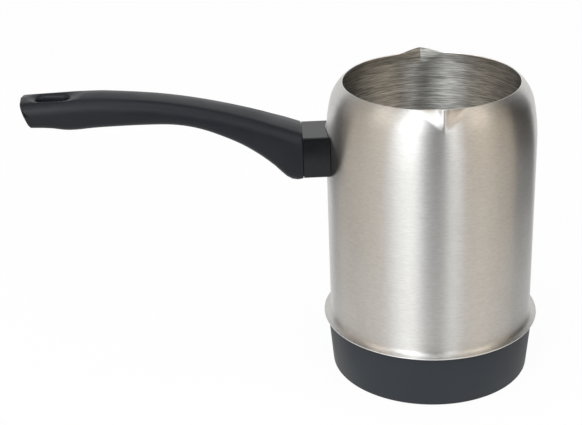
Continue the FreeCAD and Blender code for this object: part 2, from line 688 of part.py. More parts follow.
def turned(item, degrees):
    """Turn an object about the pot's axis."""
    item.Placement = FreeCAD.Placement(ORIGIN, FreeCAD.Rotation(UP, degrees))
    return item


def coupler_body():
    owner = body("coupler_moulding")
    pin_hole = f"{s('pin_shank_radius')} + {s('ring_play')}"
    plate = COUPLER_PLATE
    revolve(owner, "coupler", [
        (pin_hole, plate),
        (s("core_bore"), plate),
        (s("core_bore"), s("core_mouth")),
        (s("core_radius"), s("core_mouth")),
        (s("core_radius"), plate),
        (SKIRT_INSIDE, plate),
        (SKIRT_INSIDE, s("coupler_mouth")),
        (s("skirt_radius"), s("coupler_mouth")),
        (s("skirt_radius"), plate),
        (s("coupler_radius"), plate),
        (s("coupler_radius"), PLATE_TOP),
        (pin_hole, PLATE_TOP),
    ])
    solids = [owner]
    for pole, side in POLES.items():
        y = f"{side} * {s('pole_offset')} - {s('arm_width')} / 2"
        solids.append(box(f"{pole}_pedestal", s("pedestal_length"), s("arm_width"),
                          f"{LINK_TOP} - {s('strip_thickness')} - {COUPLER_PLATE}",
                          LINK_START, y, COUPLER_PLATE))
    for angle in THREE_ANGLES:
        if angle != EARTH_ANGLE:
            x, y = at_angle(s("stud_circle"), angle)
            solids.append(cylinder(f"stud_pad_{angle}", s("sleeve_radius"),
                                   f"{STRIP_TOP} - {COUPLER_PLATE}", x, y, COUPLER_PLATE))
    holes = []
    for angle in THREE_ANGLES:
        x, y = at_angle(s("stud_circle"), angle)
        holes.append(cylinder(f"coupler_stud_hole_{angle}", f"{s('stud_radius')} + {s('stud_play')}",
                              PLATE_TOP, x, y, s("coupler_mouth")))
    holes.append(tab_slot("neutral_plate_slot", NEUTRAL_INSIDE, NEUTRAL_OUTSIDE, NEUTRAL_ANGLE))
    holes.append(tab_slot("earth_plate_slot", EARTH_INSIDE, EARTH_OUTSIDE, EARTH_ANGLE))
    return cut("coupler_body", fuse("coupler_solids", solids), fuse("coupler_holes", holes))


def live_pin():
    """Centre pin with a rounded nose and a shoulder, riveted over its brass strip."""
    owner = body("live_pin")
    radius = s("live_pin_radius")
    nose = f"({radius} / 2)"
    mouth = s("live_pin_mouth")
    shoulder = f"({COUPLER_PLATE} - {s('pin_shoulder_height')})"
    revolve(owner, "pin", [
        ("0", mouth),
        (f"{radius} - {nose}", mouth, nose, 1),
        (radius, f"{mouth} + {nose}"),
        (radius, shoulder),
        (s("pin_shoulder_radius"), shoulder),
        (s("pin_shoulder_radius"), COUPLER_PLATE),
        (s("pin_shank_radius"), COUPLER_PLATE),
        (s("pin_shank_radius"), STRIP_TOP),
        (s("pin_head_radius"), STRIP_TOP),
        (s("pin_head_radius"), f"{STRIP_TOP} + {s('pin_head_height')}"),
        ("0", f"{STRIP_TOP} + {s('pin_head_height')}"),
    ])
    return owner


def contact_ring(name, inside, outside, angle):
    """Sheet-metal ring with a curved tab that goes up through the plate and its strip."""
    ring = tube(f"{name}_sheet", outside, inside, f"{COUPLER_PLATE} - {s('ring_mouth')}", z=s("ring_mouth"))
    tall = tube(f"{name}_tall", outside, inside, f"{STRIP_TOP} - {s('ring_mouth')}", z=s("ring_mouth"))
    window = box(f"{name}_window", outside, s("tab_width"), f"{STRIP_TOP} - {TAB_ROOT}",
                 "0", f"-{s('tab_width')} / 2", TAB_ROOT)
    tab = doc.addObject("Part::MultiCommon", f"{name}_tab")
    tab.Shapes = [tall, window]
    return turned(fuse(name, [ring, tab]), angle)


def tab_slot(name, inside, outside, angle):
    """Slot round a contact ring's tab, through the coupler plate and the strip on it."""
    start = f"(sqrt({inside}^2 - {s('tab_width')}^2 / 4) - {s('tab_play')})"
    width = f"({s('tab_width')} + 2 * {s('tab_play')})"
    opening = box(name, f"{outside} + {s('tab_play')} - {start}", width, f"{STRIP_TOP} - {TAB_ROOT}",
                  start, f"-{width} / 2", TAB_ROOT)
    return turned(group(f"{name}_turned", [opening]), angle)


def earth_strap():
    """Brass strip from the earth ring's tab to an eye under one stud's sleeve."""
    width = s("strip_width")
    start = f"({EARTH_INSIDE} - {s('strip_thickness')})"
    strip = box("earth_strip", f"{s('stud_circle')} - {start}", width, s("strip_thickness"),
                start, f"-{width} / 2", PLATE_TOP)
    eye = cylinder("earth_eye", s("sleeve_radius"), s("strip_thickness"), s("stud_circle"), "0", PLATE_TOP)
    hole = cylinder("earth_eye_hole", f"{s('stud_radius')} + {s('stud_play')}", s("strip_thickness"),
                    s("stud_circle"), "0", PLATE_TOP)
    slot = tab_slot("earth_strip_slot", EARTH_INSIDE, EARTH_OUTSIDE, 0)
    solids = fuse("earth_strip_eye", [strip, eye])
    openings = fuse("earth_openings", [hole, slot])
    return turned(cut("earth_strap", solids, openings), EARTH_ANGLE)


def coupler_fixings():
    """Studs welded to the spreader and the nuts that clamp the coupler up to them."""
    studs = []
    nuts = []
    nut_foot = f"({COUPLER_PLATE} - {s('nut_height')})"
    stud_foot = f"({nut_foot} - {s('stud_end')})"
    for angle in THREE_ANGLES:
        x, y = at_angle(s("stud_circle"), angle)
        studs.append(cylinder(f"stud_{angle}", s("stud_radius"), f"{SPREADER_UNDERSIDE} - {stud_foot}",
                              x, y, stud_foot))
        blank = doc.addObject("Part::Prism", f"nut_blank_{angle}")
        blank.Polygon = NUT_SIDES
        bind(blank, Circumradius=f"{s('nut_flats')} / 2 / cos(180 / {NUT_SIDES})", Height=s("nut_height"))
        place(blank, x, y, nut_foot)
        bore = cylinder(f"nut_bore_{angle}", f"{s('stud_radius')} + {s('thread_play')}", s("nut_height"),
                        x, y, nut_foot)
        nuts.append(cut(f"nut_{angle}", blank, bore))
    return group("coupler_studs", studs), group("coupler_nuts", nuts)


# boil-dry cut-out: two snap discs, each with a push pin that opens one pole's contact arm
DISC_TOP = f"({SPREADER_UNDERSIDE} - {s('disc_gap')})"
DOME_UNDERSIDE = f"({DISC_TOP} - {s('disc_thickness')})"
DISC_RIM = f"({DOME_UNDERSIDE} - {s('disc_dome')})"
DISC_LEDGE = f"({DISC_RIM} - {s('disc_gap')})"
CARRIER_TOP = f"({CARRIER_PLATE} + {s('carrier_thickness')})"
CLOSED_CONTACT = f"({ARM_LEVEL} + {s('contact_height')} + {s('contact_gap')})"
FIXED_STRIP = f"({CLOSED_CONTACT} + {s('contact_height')})"


def cutout_carrier():
    """Ceramic plate with two disc cups, a guide hole in each, and a sleeve round every stud."""
    solids = [cylinder("carrier_disc", s("carrier_radius"), s("carrier_thickness"), z=CARRIER_PLATE)]
    holes = []
    cup_bore = f"{s('disc_radius')} + {s('disc_cup_play')}"
    for pole, side in POLES.items():
        x = s("pin_station")
        y = f"{side} * {s('pole_offset')}"
        solids.append(cylinder(f"{pole}_disc_cup", f"{cup_bore} + {s('disc_cup_wall')}",
                               f"{SPREADER_UNDERSIDE} - {s('disc_cup_gap')} - {CARRIER_PLATE}",
                               x, y, CARRIER_PLATE))
        holes.append(cylinder(f"{pole}_disc_bore", cup_bore, f"{SPREADER_UNDERSIDE} - {DISC_LEDGE}",
                              x, y, DISC_LEDGE))
        holes.append(cylinder(f"{pole}_guide", f"{s('push_pin_radius')} + {s('push_pin_play')}",
                              f"{SPREADER_UNDERSIDE} - {ARM_LEVEL}", x, y, ARM_LEVEL))
    for angle in THREE_ANGLES:
        x, y = at_angle(s("stud_circle"), angle)
        solids.append(cylinder(f"sleeve_{angle}", s("sleeve_radius"),
                               f"{SPREADER_UNDERSIDE} - {s('sleeve_gap')} - {STRIP_TOP}", x, y, STRIP_TOP))
        holes.append(cylinder(f"sleeve_hole_{angle}", f"{s('stud_radius')} + {s('stud_play')}",
                              f"{SPREADER_UNDERSIDE} - {PLATE_TOP}", x, y, PLATE_TOP))
    return cut("cutout_carrier", fuse("carrier_solids", solids), fuse("carrier_holes", holes))


def pole_parts(pole, side):
    """Snap disc, push pin, contact arm, fixed contact and heater link of one pole."""
    y = f"({side} * {s('pole_offset')})"
    dome_radius = f"(({s('disc_radius')}^2 + {s('disc_dome')}^2) / (2 * {s('disc_dome')}))"
    disc = body(f"{pole}_disc")
    revolve(disc, f"{pole}_dome", [
        ("0", DOME_UNDERSIDE, dome_radius, -1),
        (s("disc_radius"), DISC_RIM),
        (s("disc_radius"), f"{DISC_RIM} + {s('disc_thickness')}", dome_radius, 1),
        ("0", DISC_TOP),
    ])
    place(disc, s("pin_station"), y)

    pin_foot = f"({ARM_LEVEL} + {s('push_pin_gap')})"
    pin_length = f"{DOME_UNDERSIDE} - {s('push_pin_gap')} - {pin_foot}"
    collar_foot = f"{CARRIER_PLATE} - {s('pin_collar_gap')} - {s('pin_collar_height')}"
    shaft = cylinder(f"{pole}_shaft", s("push_pin_radius"), pin_length, s("pin_station"), y, pin_foot)
    collar = cylinder(f"{pole}_pin_collar", s("pin_collar_radius"), s("pin_collar_height"),
                      s("pin_station"), y, collar_foot)
    push_pin = fuse(f"{pole}_push_pin", [shaft, collar])

    blade = box(f"{pole}_blade", f"{s('arm_reach')} + {s('arm_tail')}", s("arm_width"), s("arm_thickness"),
                f"{s('arm_root')} - {s('arm_reach')}", f"{y} - {s('arm_width')} / 2", ARM_UNDERSIDE)
    silver = cylinder(f"{pole}_moving_silver", s("contact_radius"), s("contact_height"),
                      s("contact_station"), y, ARM_LEVEL)
    rivet = cylinder(f"{pole}_root_rivet", s("root_rivet_radius"), s("arm_thickness"),
                     s("arm_root"), y, ARM_LEVEL)
    arm = fuse(f"{pole}_contact_arm", [blade, silver, rivet])

    link_foot = f"({LINK_TOP} - {s('strip_thickness')})"
    link_length = f"{COLD_PIN_STATION} + {s('strip_width')} / 2 - {LINK_START}"
    strip = box(f"{pole}_link_strip", link_length, s("strip_width"), s("strip_thickness"),
                LINK_START, f"{y} - {s('strip_width')} / 2", link_foot)
    eye = cylinder(f"{pole}_link_eye", f"{s('cold_pin_radius')} + {s('thread_play')}", s("strip_thickness"),
                   COLD_PIN_STATION, y, link_foot)
    link = cut(f"{pole}_heater_link", strip, eye)
    return disc, push_pin, arm, link, fixed_contact(pole, side, y)


def fixed_contact(pole, side, y):
    """Brass strip along the plate, up a riser and back over the arm, with a silver contact under it."""
    width = s("strip_width")
    sheet_thickness = s("strip_thickness")
    low_side = f"{y} - {width} / 2"
    riser_start = f"({s('fixed_post_station')} - {sheet_thickness})"
    foot = box(f"{pole}_foot", f"{width} / 2 - {riser_start}", width, sheet_thickness,
               riser_start, low_side, PLATE_TOP)
    riser = box(f"{pole}_riser", sheet_thickness, width, f"{FIXED_STRIP} + {sheet_thickness} - {PLATE_TOP}",
                riser_start, low_side, PLATE_TOP)
    over_length = f"{s('contact_station')} + {width} / 2 - {riser_start}"
    over = box(f"{pole}_over", over_length, width, sheet_thickness, riser_start, low_side, FIXED_STRIP)
    silver = cylinder(f"{pole}_fixed_silver", s("contact_radius"), s("contact_height"),
                      s("contact_station"), y, CLOSED_CONTACT)
    solids = [foot, riser, over, silver]
    if pole == "line":
        solids.append(box("line_crossing", width, s("pole_offset"), sheet_thickness,
                          f"-{width} / 2", "0", PLATE_TOP))
        solids.append(cylinder("line_eye", s("pin_head_radius"), sheet_thickness, z=PLATE_TOP))
        opening = cylinder("line_eye_hole", f"{s('pin_shank_radius')} + {s('ring_play')}", sheet_thickness,
                           z=PLATE_TOP)
    else:
        opening = tab_slot("neutral_strip_slot", NEUTRAL_INSIDE, NEUTRAL_OUTSIDE, NEUTRAL_ANGLE)
    return cut(f"{pole}_fixed_contact", fuse(f"{pole}_contact_solids", solids), opening)


# handle
HANDLE_LEVEL = f"({s('rim_height')} - {s('handle_drop')})"


def along(name):
    """Distance of a named station of the handle from the pot's axis."""
    return f"({s('body_radius')} + {s(name)})"


COLLAR_TOP = f"({HANDLE_LEVEL} + {s('collar_half_height')})"
COLLAR_BOTTOM = f"({HANDLE_LEVEL} - {s('collar_half_height')})"
TONGUE_ANGLE = f"atan({s('bracket_end_rise')} / ({s('bracket_end')} - {s('bracket_bend')}))"


def tongue_outline(play, start):
    """Side view of the bent tongue, grown all round by a play."""
    half = f"({s('bracket_thickness')} / 2 + {play})"
    mitre = f"{half} * tan({TONGUE_ANGLE} / 2)"
    tip_across = f"(-{along('bracket_end')} - {play} * cos({TONGUE_ANGLE}))"
    tip_up = f"({HANDLE_LEVEL} + {s('bracket_end_rise')} + {play} * sin({TONGUE_ANGLE}))"
    lean_across = f"{half} * sin({TONGUE_ANGLE})"
    lean_up = f"{half} * cos({TONGUE_ANGLE})"
    return [
        (start, f"{HANDLE_LEVEL} - {half}"),
        (start, f"{HANDLE_LEVEL} + {half}"),
        (f"-{along('bracket_bend')} + {mitre}", f"{HANDLE_LEVEL} + {half}"),
        (f"{tip_across} + {lean_across}", f"{tip_up} + {lean_up}"),
        (f"{tip_across} - {lean_across}", f"{tip_up} - {lean_up}"),
        (f"-{along('bracket_bend')} - {mitre}", f"{HANDLE_LEVEL} - {half}"),
    ]


def along_screw(name, radius, low, high):
    """Cylinder on the handle screw's slanted axis, between two distances from the tongue's middle."""
    station = along("handle_screw_station")
    level = f"{HANDLE_LEVEL} + ({s('handle_screw_station')} - {s('bracket_bend')}) * tan({TONGUE_ANGLE})"
    item = doc.addObject("Part::Cylinder", name)
    bind(item, Radius=radius, Height=f"({high}) - ({low})")
    item.Placement = FreeCAD.Placement(ORIGIN, FreeCAD.Rotation(SIDEWAYS, number(TONGUE_ANGLE)))
    item.setExpression(".Placement.Rotation.Angle", TONGUE_ANGLE)
    across = f"-{station} + ({low}) * sin({TONGUE_ANGLE})"
    return place(item, across, "0", f"{level} + ({low}) * cos({TONGUE_ANGLE})")


def handle_bracket():
    """Bent steel tongue on a curved plate, which is spot-welded to the pot."""
    tongue = body("bracket_tongue")
    inner = f"({s('body_radius')} + {s('weld_gap')})"
    outer = f"({inner} + {s('saddle_thickness')})"
    start = f"-({inner} + {s('saddle_thickness')} / 2)"
    pad(tongue, "tongue", "XZ_Plane", tongue_outline("0", start), s("bracket_width"))
    low = f"({HANDLE_LEVEL} - {s('saddle_half_height')})"
    ring = tube("saddle_ring", outer, inner, f"2 * {s('saddle_half_height')}", z=low)
    window = box("saddle_window", outer, f"2 * {s('saddle_half_width')}", f"2 * {s('saddle_half_height')}",
                 f"-{outer}", f"-{s('saddle_half_width')}", low)
    saddle = doc.addObject("Part::MultiCommon", "bracket_saddle")
    saddle.Shapes = [ring, window]
    hole = along_screw("bracket_tapped_hole", f"{s('handle_screw_radius')} + {s('thread_play')}",
                       f"-{s('bracket_thickness')}", s("bracket_thickness"))
    return cut("handle_bracket", fuse("bracket_solids", [tongue, saddle]), hole)


def rounded_rectangle(half, bottom, top, corner):
    return [
        (f"-{half} + {corner}", bottom),
        (f"{half} - {corner}", bottom, corner, 1),
        (half, f"{bottom} + {corner}"),
        (half, f"{top} - {corner}", corner, 1),
        (f"{half} - {corner}", top),
        (f"-{half} + {corner}", top, corner, 1),
        (f"-{half}", f"{top} - {corner}"),
        (f"-{half}", f"{bottom} + {corner}", corner, 1),
    ]


def handle_collar():
    """Gloss sleeve between pot and grip, hollowed for the bracket's plate and tongue."""
    block = body("collar_block")
    section = rounded_rectangle(s("collar_half_width"), COLLAR_BOTTOM, COLLAR_TOP, s("collar_edge_radius"))
    pad(block, "collar", "YZ_Plane", section, f"{s('collar_length')} + {s('body_radius')} / 2",
        offset=f"-{along('collar_length')}", middle=False)
    pot = cylinder("collar_pot_cut", f"{s('body_radius')} + {s('collar_wall_gap')}", s("rim_height"))
    play = s("tongue_play")
    saddle_outer = f"({s('body_radius')} + {s('weld_gap')} + {s('saddle_thickness')} + {play})"
    low = f"({HANDLE_LEVEL} - {s('saddle_half_height')} - {play})"
    height = f"2 * ({s('saddle_half_height')} + {play})"
    round_room = cylinder("saddle_room_round", saddle_outer, height, z=low)
    square_room = box("saddle_room_square", saddle_outer, f"2 * ({s('saddle_half_width')} + {play})", height,
                      f"-{saddle_outer}", f"-{s('saddle_half_width')} - {play}", low)
    room = doc.addObject("Part::MultiCommon", "saddle_room")
    room.Shapes = [round_room, square_room]
    passage = body("tongue_passage")
    pad(passage, "passage", "XZ_Plane", tongue_outline(play, f"-{s('body_radius')}"),
        f"{s('bracket_width')} + 2 * {play}")
    return cut("handle_collar", block, fuse("collar_hollows", [pot, room, passage]))


def dress(owner, kind, name, test, size_property, size):
    """Round or bevel the edges of a body's last feature that pass a test."""
    base = owner.Tip
    edges = [f"Edge{index}" for index, edge in enumerate(base.Shape.Edges, start=1) if test(edge)]
    item = owner.newObject(kind, name)
    item.Base = (base, edges)
    item.setExpression(size_property, size)
    doc.recompute()
    return item


def handle_grip():
    """Moulded grip, lofted through its sections, with a cut-back end and a hanging slot."""
    owner = body("grip_moulding")
    sections = []
    for index in range(len(GRIP_SECTIONS)):
        top, bottom = (f"({HANDLE_LEVEL} + {s(f'grip_{index}_{field}')})" for field in ("top", "bottom"))
        half, corner = (s(f"grip_{index}_{field}") for field in ("half", "corner"))
        sections.append(outline(owner, f"grip_section_{index}", "YZ_Plane",
                                rounded_rectangle(half, bottom, top, corner),
                                offset=f"-{along(f'grip_{index}_place')}"))
    loft = owner.newObject("PartDesign::AdditiveLoft", "grip_loft")
    loft.Profile = sections[0]
    loft.Sections = sections[1:]
    loft.Ruled = False
    doc.recompute()
    last = len(GRIP_SECTIONS) - 1
    rise = f"({s(f'grip_{last}_top')} - {s(f'grip_{last}_bottom')})"
    lean = f"(({s('grip_end_top')} - {s('grip_end_bottom')}) / {rise})"
    far = f"({along(f'grip_{last}_place')} + {s('beyond')})"
    high = f"({HANDLE_LEVEL} + {s(f'grip_{last}_top')} + {s('beyond')})"
    low = f"({HANDLE_LEVEL} + {s(f'grip_{last}_bottom')} - {s('beyond')})"
    across = f"2 * ({s(f'grip_{last}_half')} + {s('beyond')})"
    pad(owner, "grip_end_cut", "XZ_Plane", [
        (f"-{far}", low),
        (f"-{along('grip_end_bottom')} + {lean} * {s('beyond')}", low),
        (f"-{along('grip_end_top')} - {lean} * {s('beyond')}", high),
        (f"-{far}", high),
    ], across, "PartDesign::Pocket")
    doc.recompute()
    centre = along("slot_centre")
    straight = f"(({s('slot_length')} - {s('slot_width')}) / 2)"
    round_end = f"({s('slot_width')} / 2)"
    pad(owner, "hanging_slot", "XY_Plane", [
        (f"-{centre} - {straight}", f"-{round_end}"),
        (f"-{centre} + {straight}", f"-{round_end}", round_end, 1),
        (f"-{centre} + {s('slot_length')} / 2", "0", round_end, 1),
        (f"-{centre} + {straight}", round_end),
        (f"-{centre} - {straight}", round_end, round_end, 1),
        (f"-{centre} - {s('slot_length')} / 2", "0", round_end, 1),
    ], f"2 * {high}", "PartDesign::Pocket")
    doc.recompute()
    slot_x = -number(centre)
    slot_reach = number(f"({s('slot_length')} + {s('slot_chamfer')}) / 2")
    slot_side = number(f"({s('slot_width')} + {s('slot_chamfer')}) / 2")
    middle = number(f"{HANDLE_LEVEL} + ({s(f'grip_{last}_top')} + {s(f'grip_{last}_bottom')}) / 2")

    def at_slot_mouth(edge):
        spot = edge.CenterOfMass
        near = abs(spot.x - slot_x) < slot_reach and abs(spot.y) < slot_side
        return near and edge.BoundBox.ZMin > middle

    dress(owner, "PartDesign::Chamfer", "slot_mouth", at_slot_mouth, "Size", s("slot_chamfer"))
    end_start = -number(f"{along('grip_end_bottom')} - {s('slot_chamfer')}")

    def at_end(edge):
        return edge.BoundBox.XMax < end_start

    dress(owner, "PartDesign::Fillet", "grip_end_round", at_end, "Radius", s("grip_end_radius"))

    socket = body("tongue_socket")
    pad(socket, "socket", "XZ_Plane", tongue_outline(s("tongue_play"), f"-{s('body_radius')}"),
        f"{s('bracket_width')} + 2 * {s('tongue_play')}")
    tunnel = along_screw("grip_screw_hole", f"{s('handle_screw_radius')} + {s('screw_hole_play')}",
                         f"-{s('handle_screw_ledge')} - {s('head_play')}",
                         f"{s('handle_screw_tip')} + {s('tongue_play')}")
    recess = along_screw("grip_head_recess", f"{s('handle_screw_head')} + {s('head_play')}",
                         f"-{s('handle_screw_ledge')} - {s('head_recess_depth')}",
                         f"-{s('handle_screw_ledge')}")
    return cut("handle_grip", owner, fuse("grip_hollows", [socket, tunnel, recess]))


def handle_screw():
    shank = along_screw("handle_screw_shank", s("handle_screw_radius"), f"-{s('handle_screw_ledge')}",
                        s("handle_screw_tip"))
    head = along_screw("handle_screw_button", s("handle_screw_head"),
                       f"-{s('handle_screw_ledge')} - {s('handle_screw_head_height')}",
                       f"-{s('handle_screw_ledge')}")
    return fuse("handle_screw", [shank, head])


nodes = [vessel_body(), vessel_floor(), heat_spreader(), *heater()]
nodes += [base_cup(), base_seal(), *base_fixings()]
nodes += [coupler_body(), live_pin()]
nodes += [contact_ring("neutral_ring", NEUTRAL_INSIDE, NEUTRAL_OUTSIDE, NEUTRAL_ANGLE)]
nodes += [contact_ring("earth_ring", EARTH_INSIDE, EARTH_OUTSIDE, EARTH_ANGLE), earth_strap()]
nodes += [*coupler_fixings(), cutout_carrier()]
for pole_name, pole_side in POLES.items():
    nodes += pole_parts(pole_name, pole_side)
nodes += [handle_bracket(), handle_collar(), handle_grip(), handle_screw()]
doc.recompute()

# nothing is written unless the whole document has built
failed = [item.Name for item in doc.Objects if "Invalid" in item.State or "Error" in item.State]
if failed:
    raise RuntimeError(f"not built: {failed}")

os.makedirs("parts", exist_ok=True)
for node in nodes:
    if node.Shape.isNull() or not node.Shape.isValid():
        raise RuntimeError(f"{node.Label} has no valid shape")
    node.Shape.exportStep(f"parts/{node.Label}.step")
    print(node.Label, len(node.Shape.Solids), "solids", round(node.Shape.Volume, 1), "mm3")
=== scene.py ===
# %% [markdown]
# # An electric Turkish coffee pot, dressed in Blender
# The pot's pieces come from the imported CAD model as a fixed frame, in metres: its axis is Z, the table is
# z = 0, the handle points along -X and the two pouring lips along +Y and -Y.
# This lesson adds what the eye notices: the brushed steel, the two kinds of black plastic, the soft forms
# that the hand holds, and a studio to photograph them in.

# %% Load the frame
import bpy
import math
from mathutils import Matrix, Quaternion, Vector


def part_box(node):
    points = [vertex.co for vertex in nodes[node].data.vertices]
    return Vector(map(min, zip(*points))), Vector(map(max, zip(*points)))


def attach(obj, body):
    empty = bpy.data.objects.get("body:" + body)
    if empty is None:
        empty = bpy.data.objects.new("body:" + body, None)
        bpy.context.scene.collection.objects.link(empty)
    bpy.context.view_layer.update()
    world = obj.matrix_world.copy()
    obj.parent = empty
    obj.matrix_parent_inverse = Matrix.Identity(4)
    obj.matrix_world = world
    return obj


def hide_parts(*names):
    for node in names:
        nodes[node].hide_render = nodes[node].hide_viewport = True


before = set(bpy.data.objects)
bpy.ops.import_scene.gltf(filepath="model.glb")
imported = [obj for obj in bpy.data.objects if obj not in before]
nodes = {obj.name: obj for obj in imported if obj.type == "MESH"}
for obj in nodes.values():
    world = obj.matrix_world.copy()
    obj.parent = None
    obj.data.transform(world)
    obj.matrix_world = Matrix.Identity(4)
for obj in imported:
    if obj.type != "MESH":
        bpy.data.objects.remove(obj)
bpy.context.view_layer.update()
MM = 0.001

# %% [markdown]
# The photograph was taken from in front of one pouring lip and from above, with a long lens. A fit of the
# pot's round edges gave the camera's place and direction. A long lens keeps the walls almost parallel.

# %% Camera
CAMERA_PLACE = Vector((-0.0734, -0.5690, 0.3359))
CAMERA_LOOK = Vector((0.0146, 0.9110, -0.4120))
CAMERA_ROLL = -0.0379
CAMERA_LENS = 83.9
SENSOR_WIDTH = 36.0

camera_data = bpy.data.cameras.new("photo_camera")
camera_data.lens = CAMERA_LENS
camera_data.sensor_width = SENSOR_WIDTH
camera_data.sensor_fit = "HORIZONTAL"
camera_data.clip_start = 0.01
camera = bpy.data.objects.new("photo_camera", camera_data)
bpy.context.scene.collection.objects.link(camera)
camera.location = CAMERA_PLACE
camera.rotation_mode = "QUATERNION"
aim = CAMERA_LOOK.to_track_quat("-Z", "Y")
camera.rotation_quaternion = aim @ Quaternion((0, 0, 1), CAMERA_ROLL)
bpy.context.scene.camera = camera
bpy.context.scene.view_settings.view_transform = "Standard"
print("camera looks down by", round(math.degrees(math.asin(-CAMERA_LOOK.z)), 1), "degrees")

# %% [markdown]
# Materials are built from small node groups, so that grain and brushing are written once and used with
# different values. A helper adds a node and sets its values, which keeps each material short.

# %% Node helpers
FLOAT = "NodeSocketFloat"
VECTOR = "NodeSocketVector"
# A Mix node has sockets of every data type under the same names, so these are found by their numbers.
MIX_FLOATS = (2, 3)
MIXED_FLOAT = 0
MIX_COLOURS = (6, 7)
MIXED_COLOUR = 2


def add_node(tree, kind, **settings):
    """A new node, with its attributes given by name."""
    node = tree.nodes.new(kind)
    for name, value in settings.items():
        setattr(node, name, value)
    return node


def set_inputs(node, **values):
    """Set sockets by name, with spaces written as underscores."""
    for name, value in values.items():
        node.inputs[name.replace("_", " ")].default_value = value
    return node


def new_group(name, inputs, outputs):
    """An empty shader node group with named float and vector sockets."""
    tree = bpy.data.node_groups.new(name, "ShaderNodeTree")
    for socket, kind, value in inputs:
        tree.interface.new_socket(socket, in_out="INPUT", socket_type=kind).default_value = value
    for socket in outputs:
        tree.interface.new_socket(socket, in_out="OUTPUT", socket_type=FLOAT)
    return tree, tree.nodes.new("NodeGroupInput"), tree.nodes.new("NodeGroupOutput")


def new_material(name, **values):
    """A Principled material, its tree and its shader node."""
    material = bpy.data.materials.new(name)
    material.use_nodes = True
    shader = material.node_tree.nodes["Principled BSDF"]
    set_inputs(shader, **values)
    return material, material.node_tree, shader


def use_group(tree, group, **values):
    """A node that stands for a group, with its sockets set by name."""
    return set_inputs(add_node(tree, "ShaderNodeGroup", node_tree=group), **values)


def two_colours(tree, dark, pale, factor):
    """Mix two colours by a factor socket."""
    tint = add_node(tree, "ShaderNodeMix", data_type="RGBA")
    for number, colour in zip(MIX_COLOURS, (dark, pale)):
        tint.inputs[number].default_value = (*colour, 1)
    tree.links.new(factor, tint.inputs["Factor"])
    return tint.outputs[MIXED_COLOUR]


# %% [markdown]
# Brushed steel has been scratched by a belt in one direction, here round the pot. Noise that is squeezed
# along Z and stretched the other way gives thin streaks. Short fine ones are the belt's grains, and a few
# long ones are deeper scratches. A slow cloudy noise stands for the handling that every polished pot shows.

# %% Node group: brushing
brushing, group_in, group_out = new_group(
    "brushing",
    [("Fine Stretch", VECTOR, (1, 1, 1)), ("Long Stretch", VECTOR, (1, 1, 1)), ("Long Share", FLOAT, 0.3)],
    ["Streaks", "Patches"],
)
surface_place = add_node(brushing, "ShaderNodeTexCoord")
streak_noises = []
for socket, detail in (("Fine Stretch", 2.0), ("Long Stretch", 1.0)):
    squeeze = add_node(brushing, "ShaderNodeVectorMath", operation="MULTIPLY")
    brushing.links.new(surface_place.outputs["Object"], squeeze.inputs[0])
    brushing.links.new(group_in.outputs[socket], squeeze.inputs[1])
    noise = set_inputs(add_node(brushing, "ShaderNodeTexNoise"), Scale=1.0, Detail=detail, Roughness=0.6)
    brushing.links.new(squeeze.outputs[0], noise.inputs["Vector"])
    streak_noises.append(noise)
both = add_node(brushing, "ShaderNodeMix", data_type="FLOAT")
brushing.links.new(group_in.outputs["Long Share"], both.inputs["Factor"])
for noise, number in zip(streak_noises, MIX_FLOATS):
    brushing.links.new(noise.outputs[0], both.inputs[number])
brushing.links.new(both.outputs[MIXED_FLOAT], group_out.inputs["Streaks"])
cloudy = set_inputs(add_node(brushing, "ShaderNodeTexNoise"), Scale=24.0, Detail=3.0, Roughness=0.55)
brushing.links.new(surface_place.outputs["Object"], cloudy.inputs["Vector"])
brushing.links.new(cloudy.outputs[0], group_out.inputs["Patches"])

# %% Node group: spread a noise between two values
ranged, group_in, group_out = new_group(
    "ranged", [("Value", FLOAT, 0.5), ("Low", FLOAT, 0.0), ("High", FLOAT, 1.0)], ["Result"])
spread = add_node(ranged, "ShaderNodeMapRange", interpolation_type="SMOOTHSTEP")
set_inputs(spread, From_Min=0.3, From_Max=0.7)
for source, target in (("Value", "Value"), ("Low", "To Min"), ("High", "To Max")):
    ranged.links.new(group_in.outputs[source], spread.inputs[target])
ranged.links.new(spread.outputs["Result"], group_out.inputs["Result"])


def spread_between(tree, value, low, high):
    """A noise's value, spread between two values."""
    node = use_group(tree, ranged, Low=low, High=high)
    tree.links.new(value, node.inputs["Value"])
    return node.outputs["Result"]


# %% [markdown]
# A brushed surface scatters light across its scratches. The scratches run round the pot, so each lamp is
# smeared up and down, and the wall shows upright bands of light. In Blender the highlight is drawn out along
# the tangent. The tangent here runs round the axis, and a quarter turn of it points up the wall.

# %% Metals
QUARTER_TURN = 0.25


def worked_metal(name, dark, pale, fine, rough, long=(40, 40, 900), long_share=0.3, smear=0.0, bump=0.00001):
    """Metal with streaks: colours, streak sizes per metre, roughness range and bump height in metres."""
    material, tree, shader = new_material(name, Metallic=1.0, Anisotropic=smear,
                                          Anisotropic_Rotation=QUARTER_TURN)
    marks = use_group(tree, brushing, Fine_Stretch=fine, Long_Stretch=long, Long_Share=long_share)
    contrast = spread_between(tree, marks.outputs["Streaks"], 0.0, 1.0)
    tree.links.new(two_colours(tree, dark, pale, contrast), shader.inputs["Base Color"])
    tree.links.new(spread_between(tree, marks.outputs["Patches"], *rough), shader.inputs["Roughness"])
    relief = set_inputs(add_node(tree, "ShaderNodeBump"), Strength=0.4, Distance=bump)
    tree.links.new(marks.outputs["Streaks"], relief.inputs["Height"])
    tree.links.new(relief.outputs["Normal"], shader.inputs["Normal"])
    if smear:
        tangent = add_node(tree, "ShaderNodeTangent", direction_type="RADIAL", axis="Z")
        tree.links.new(tangent.outputs["Tangent"], shader.inputs["Tangent"])
    return material


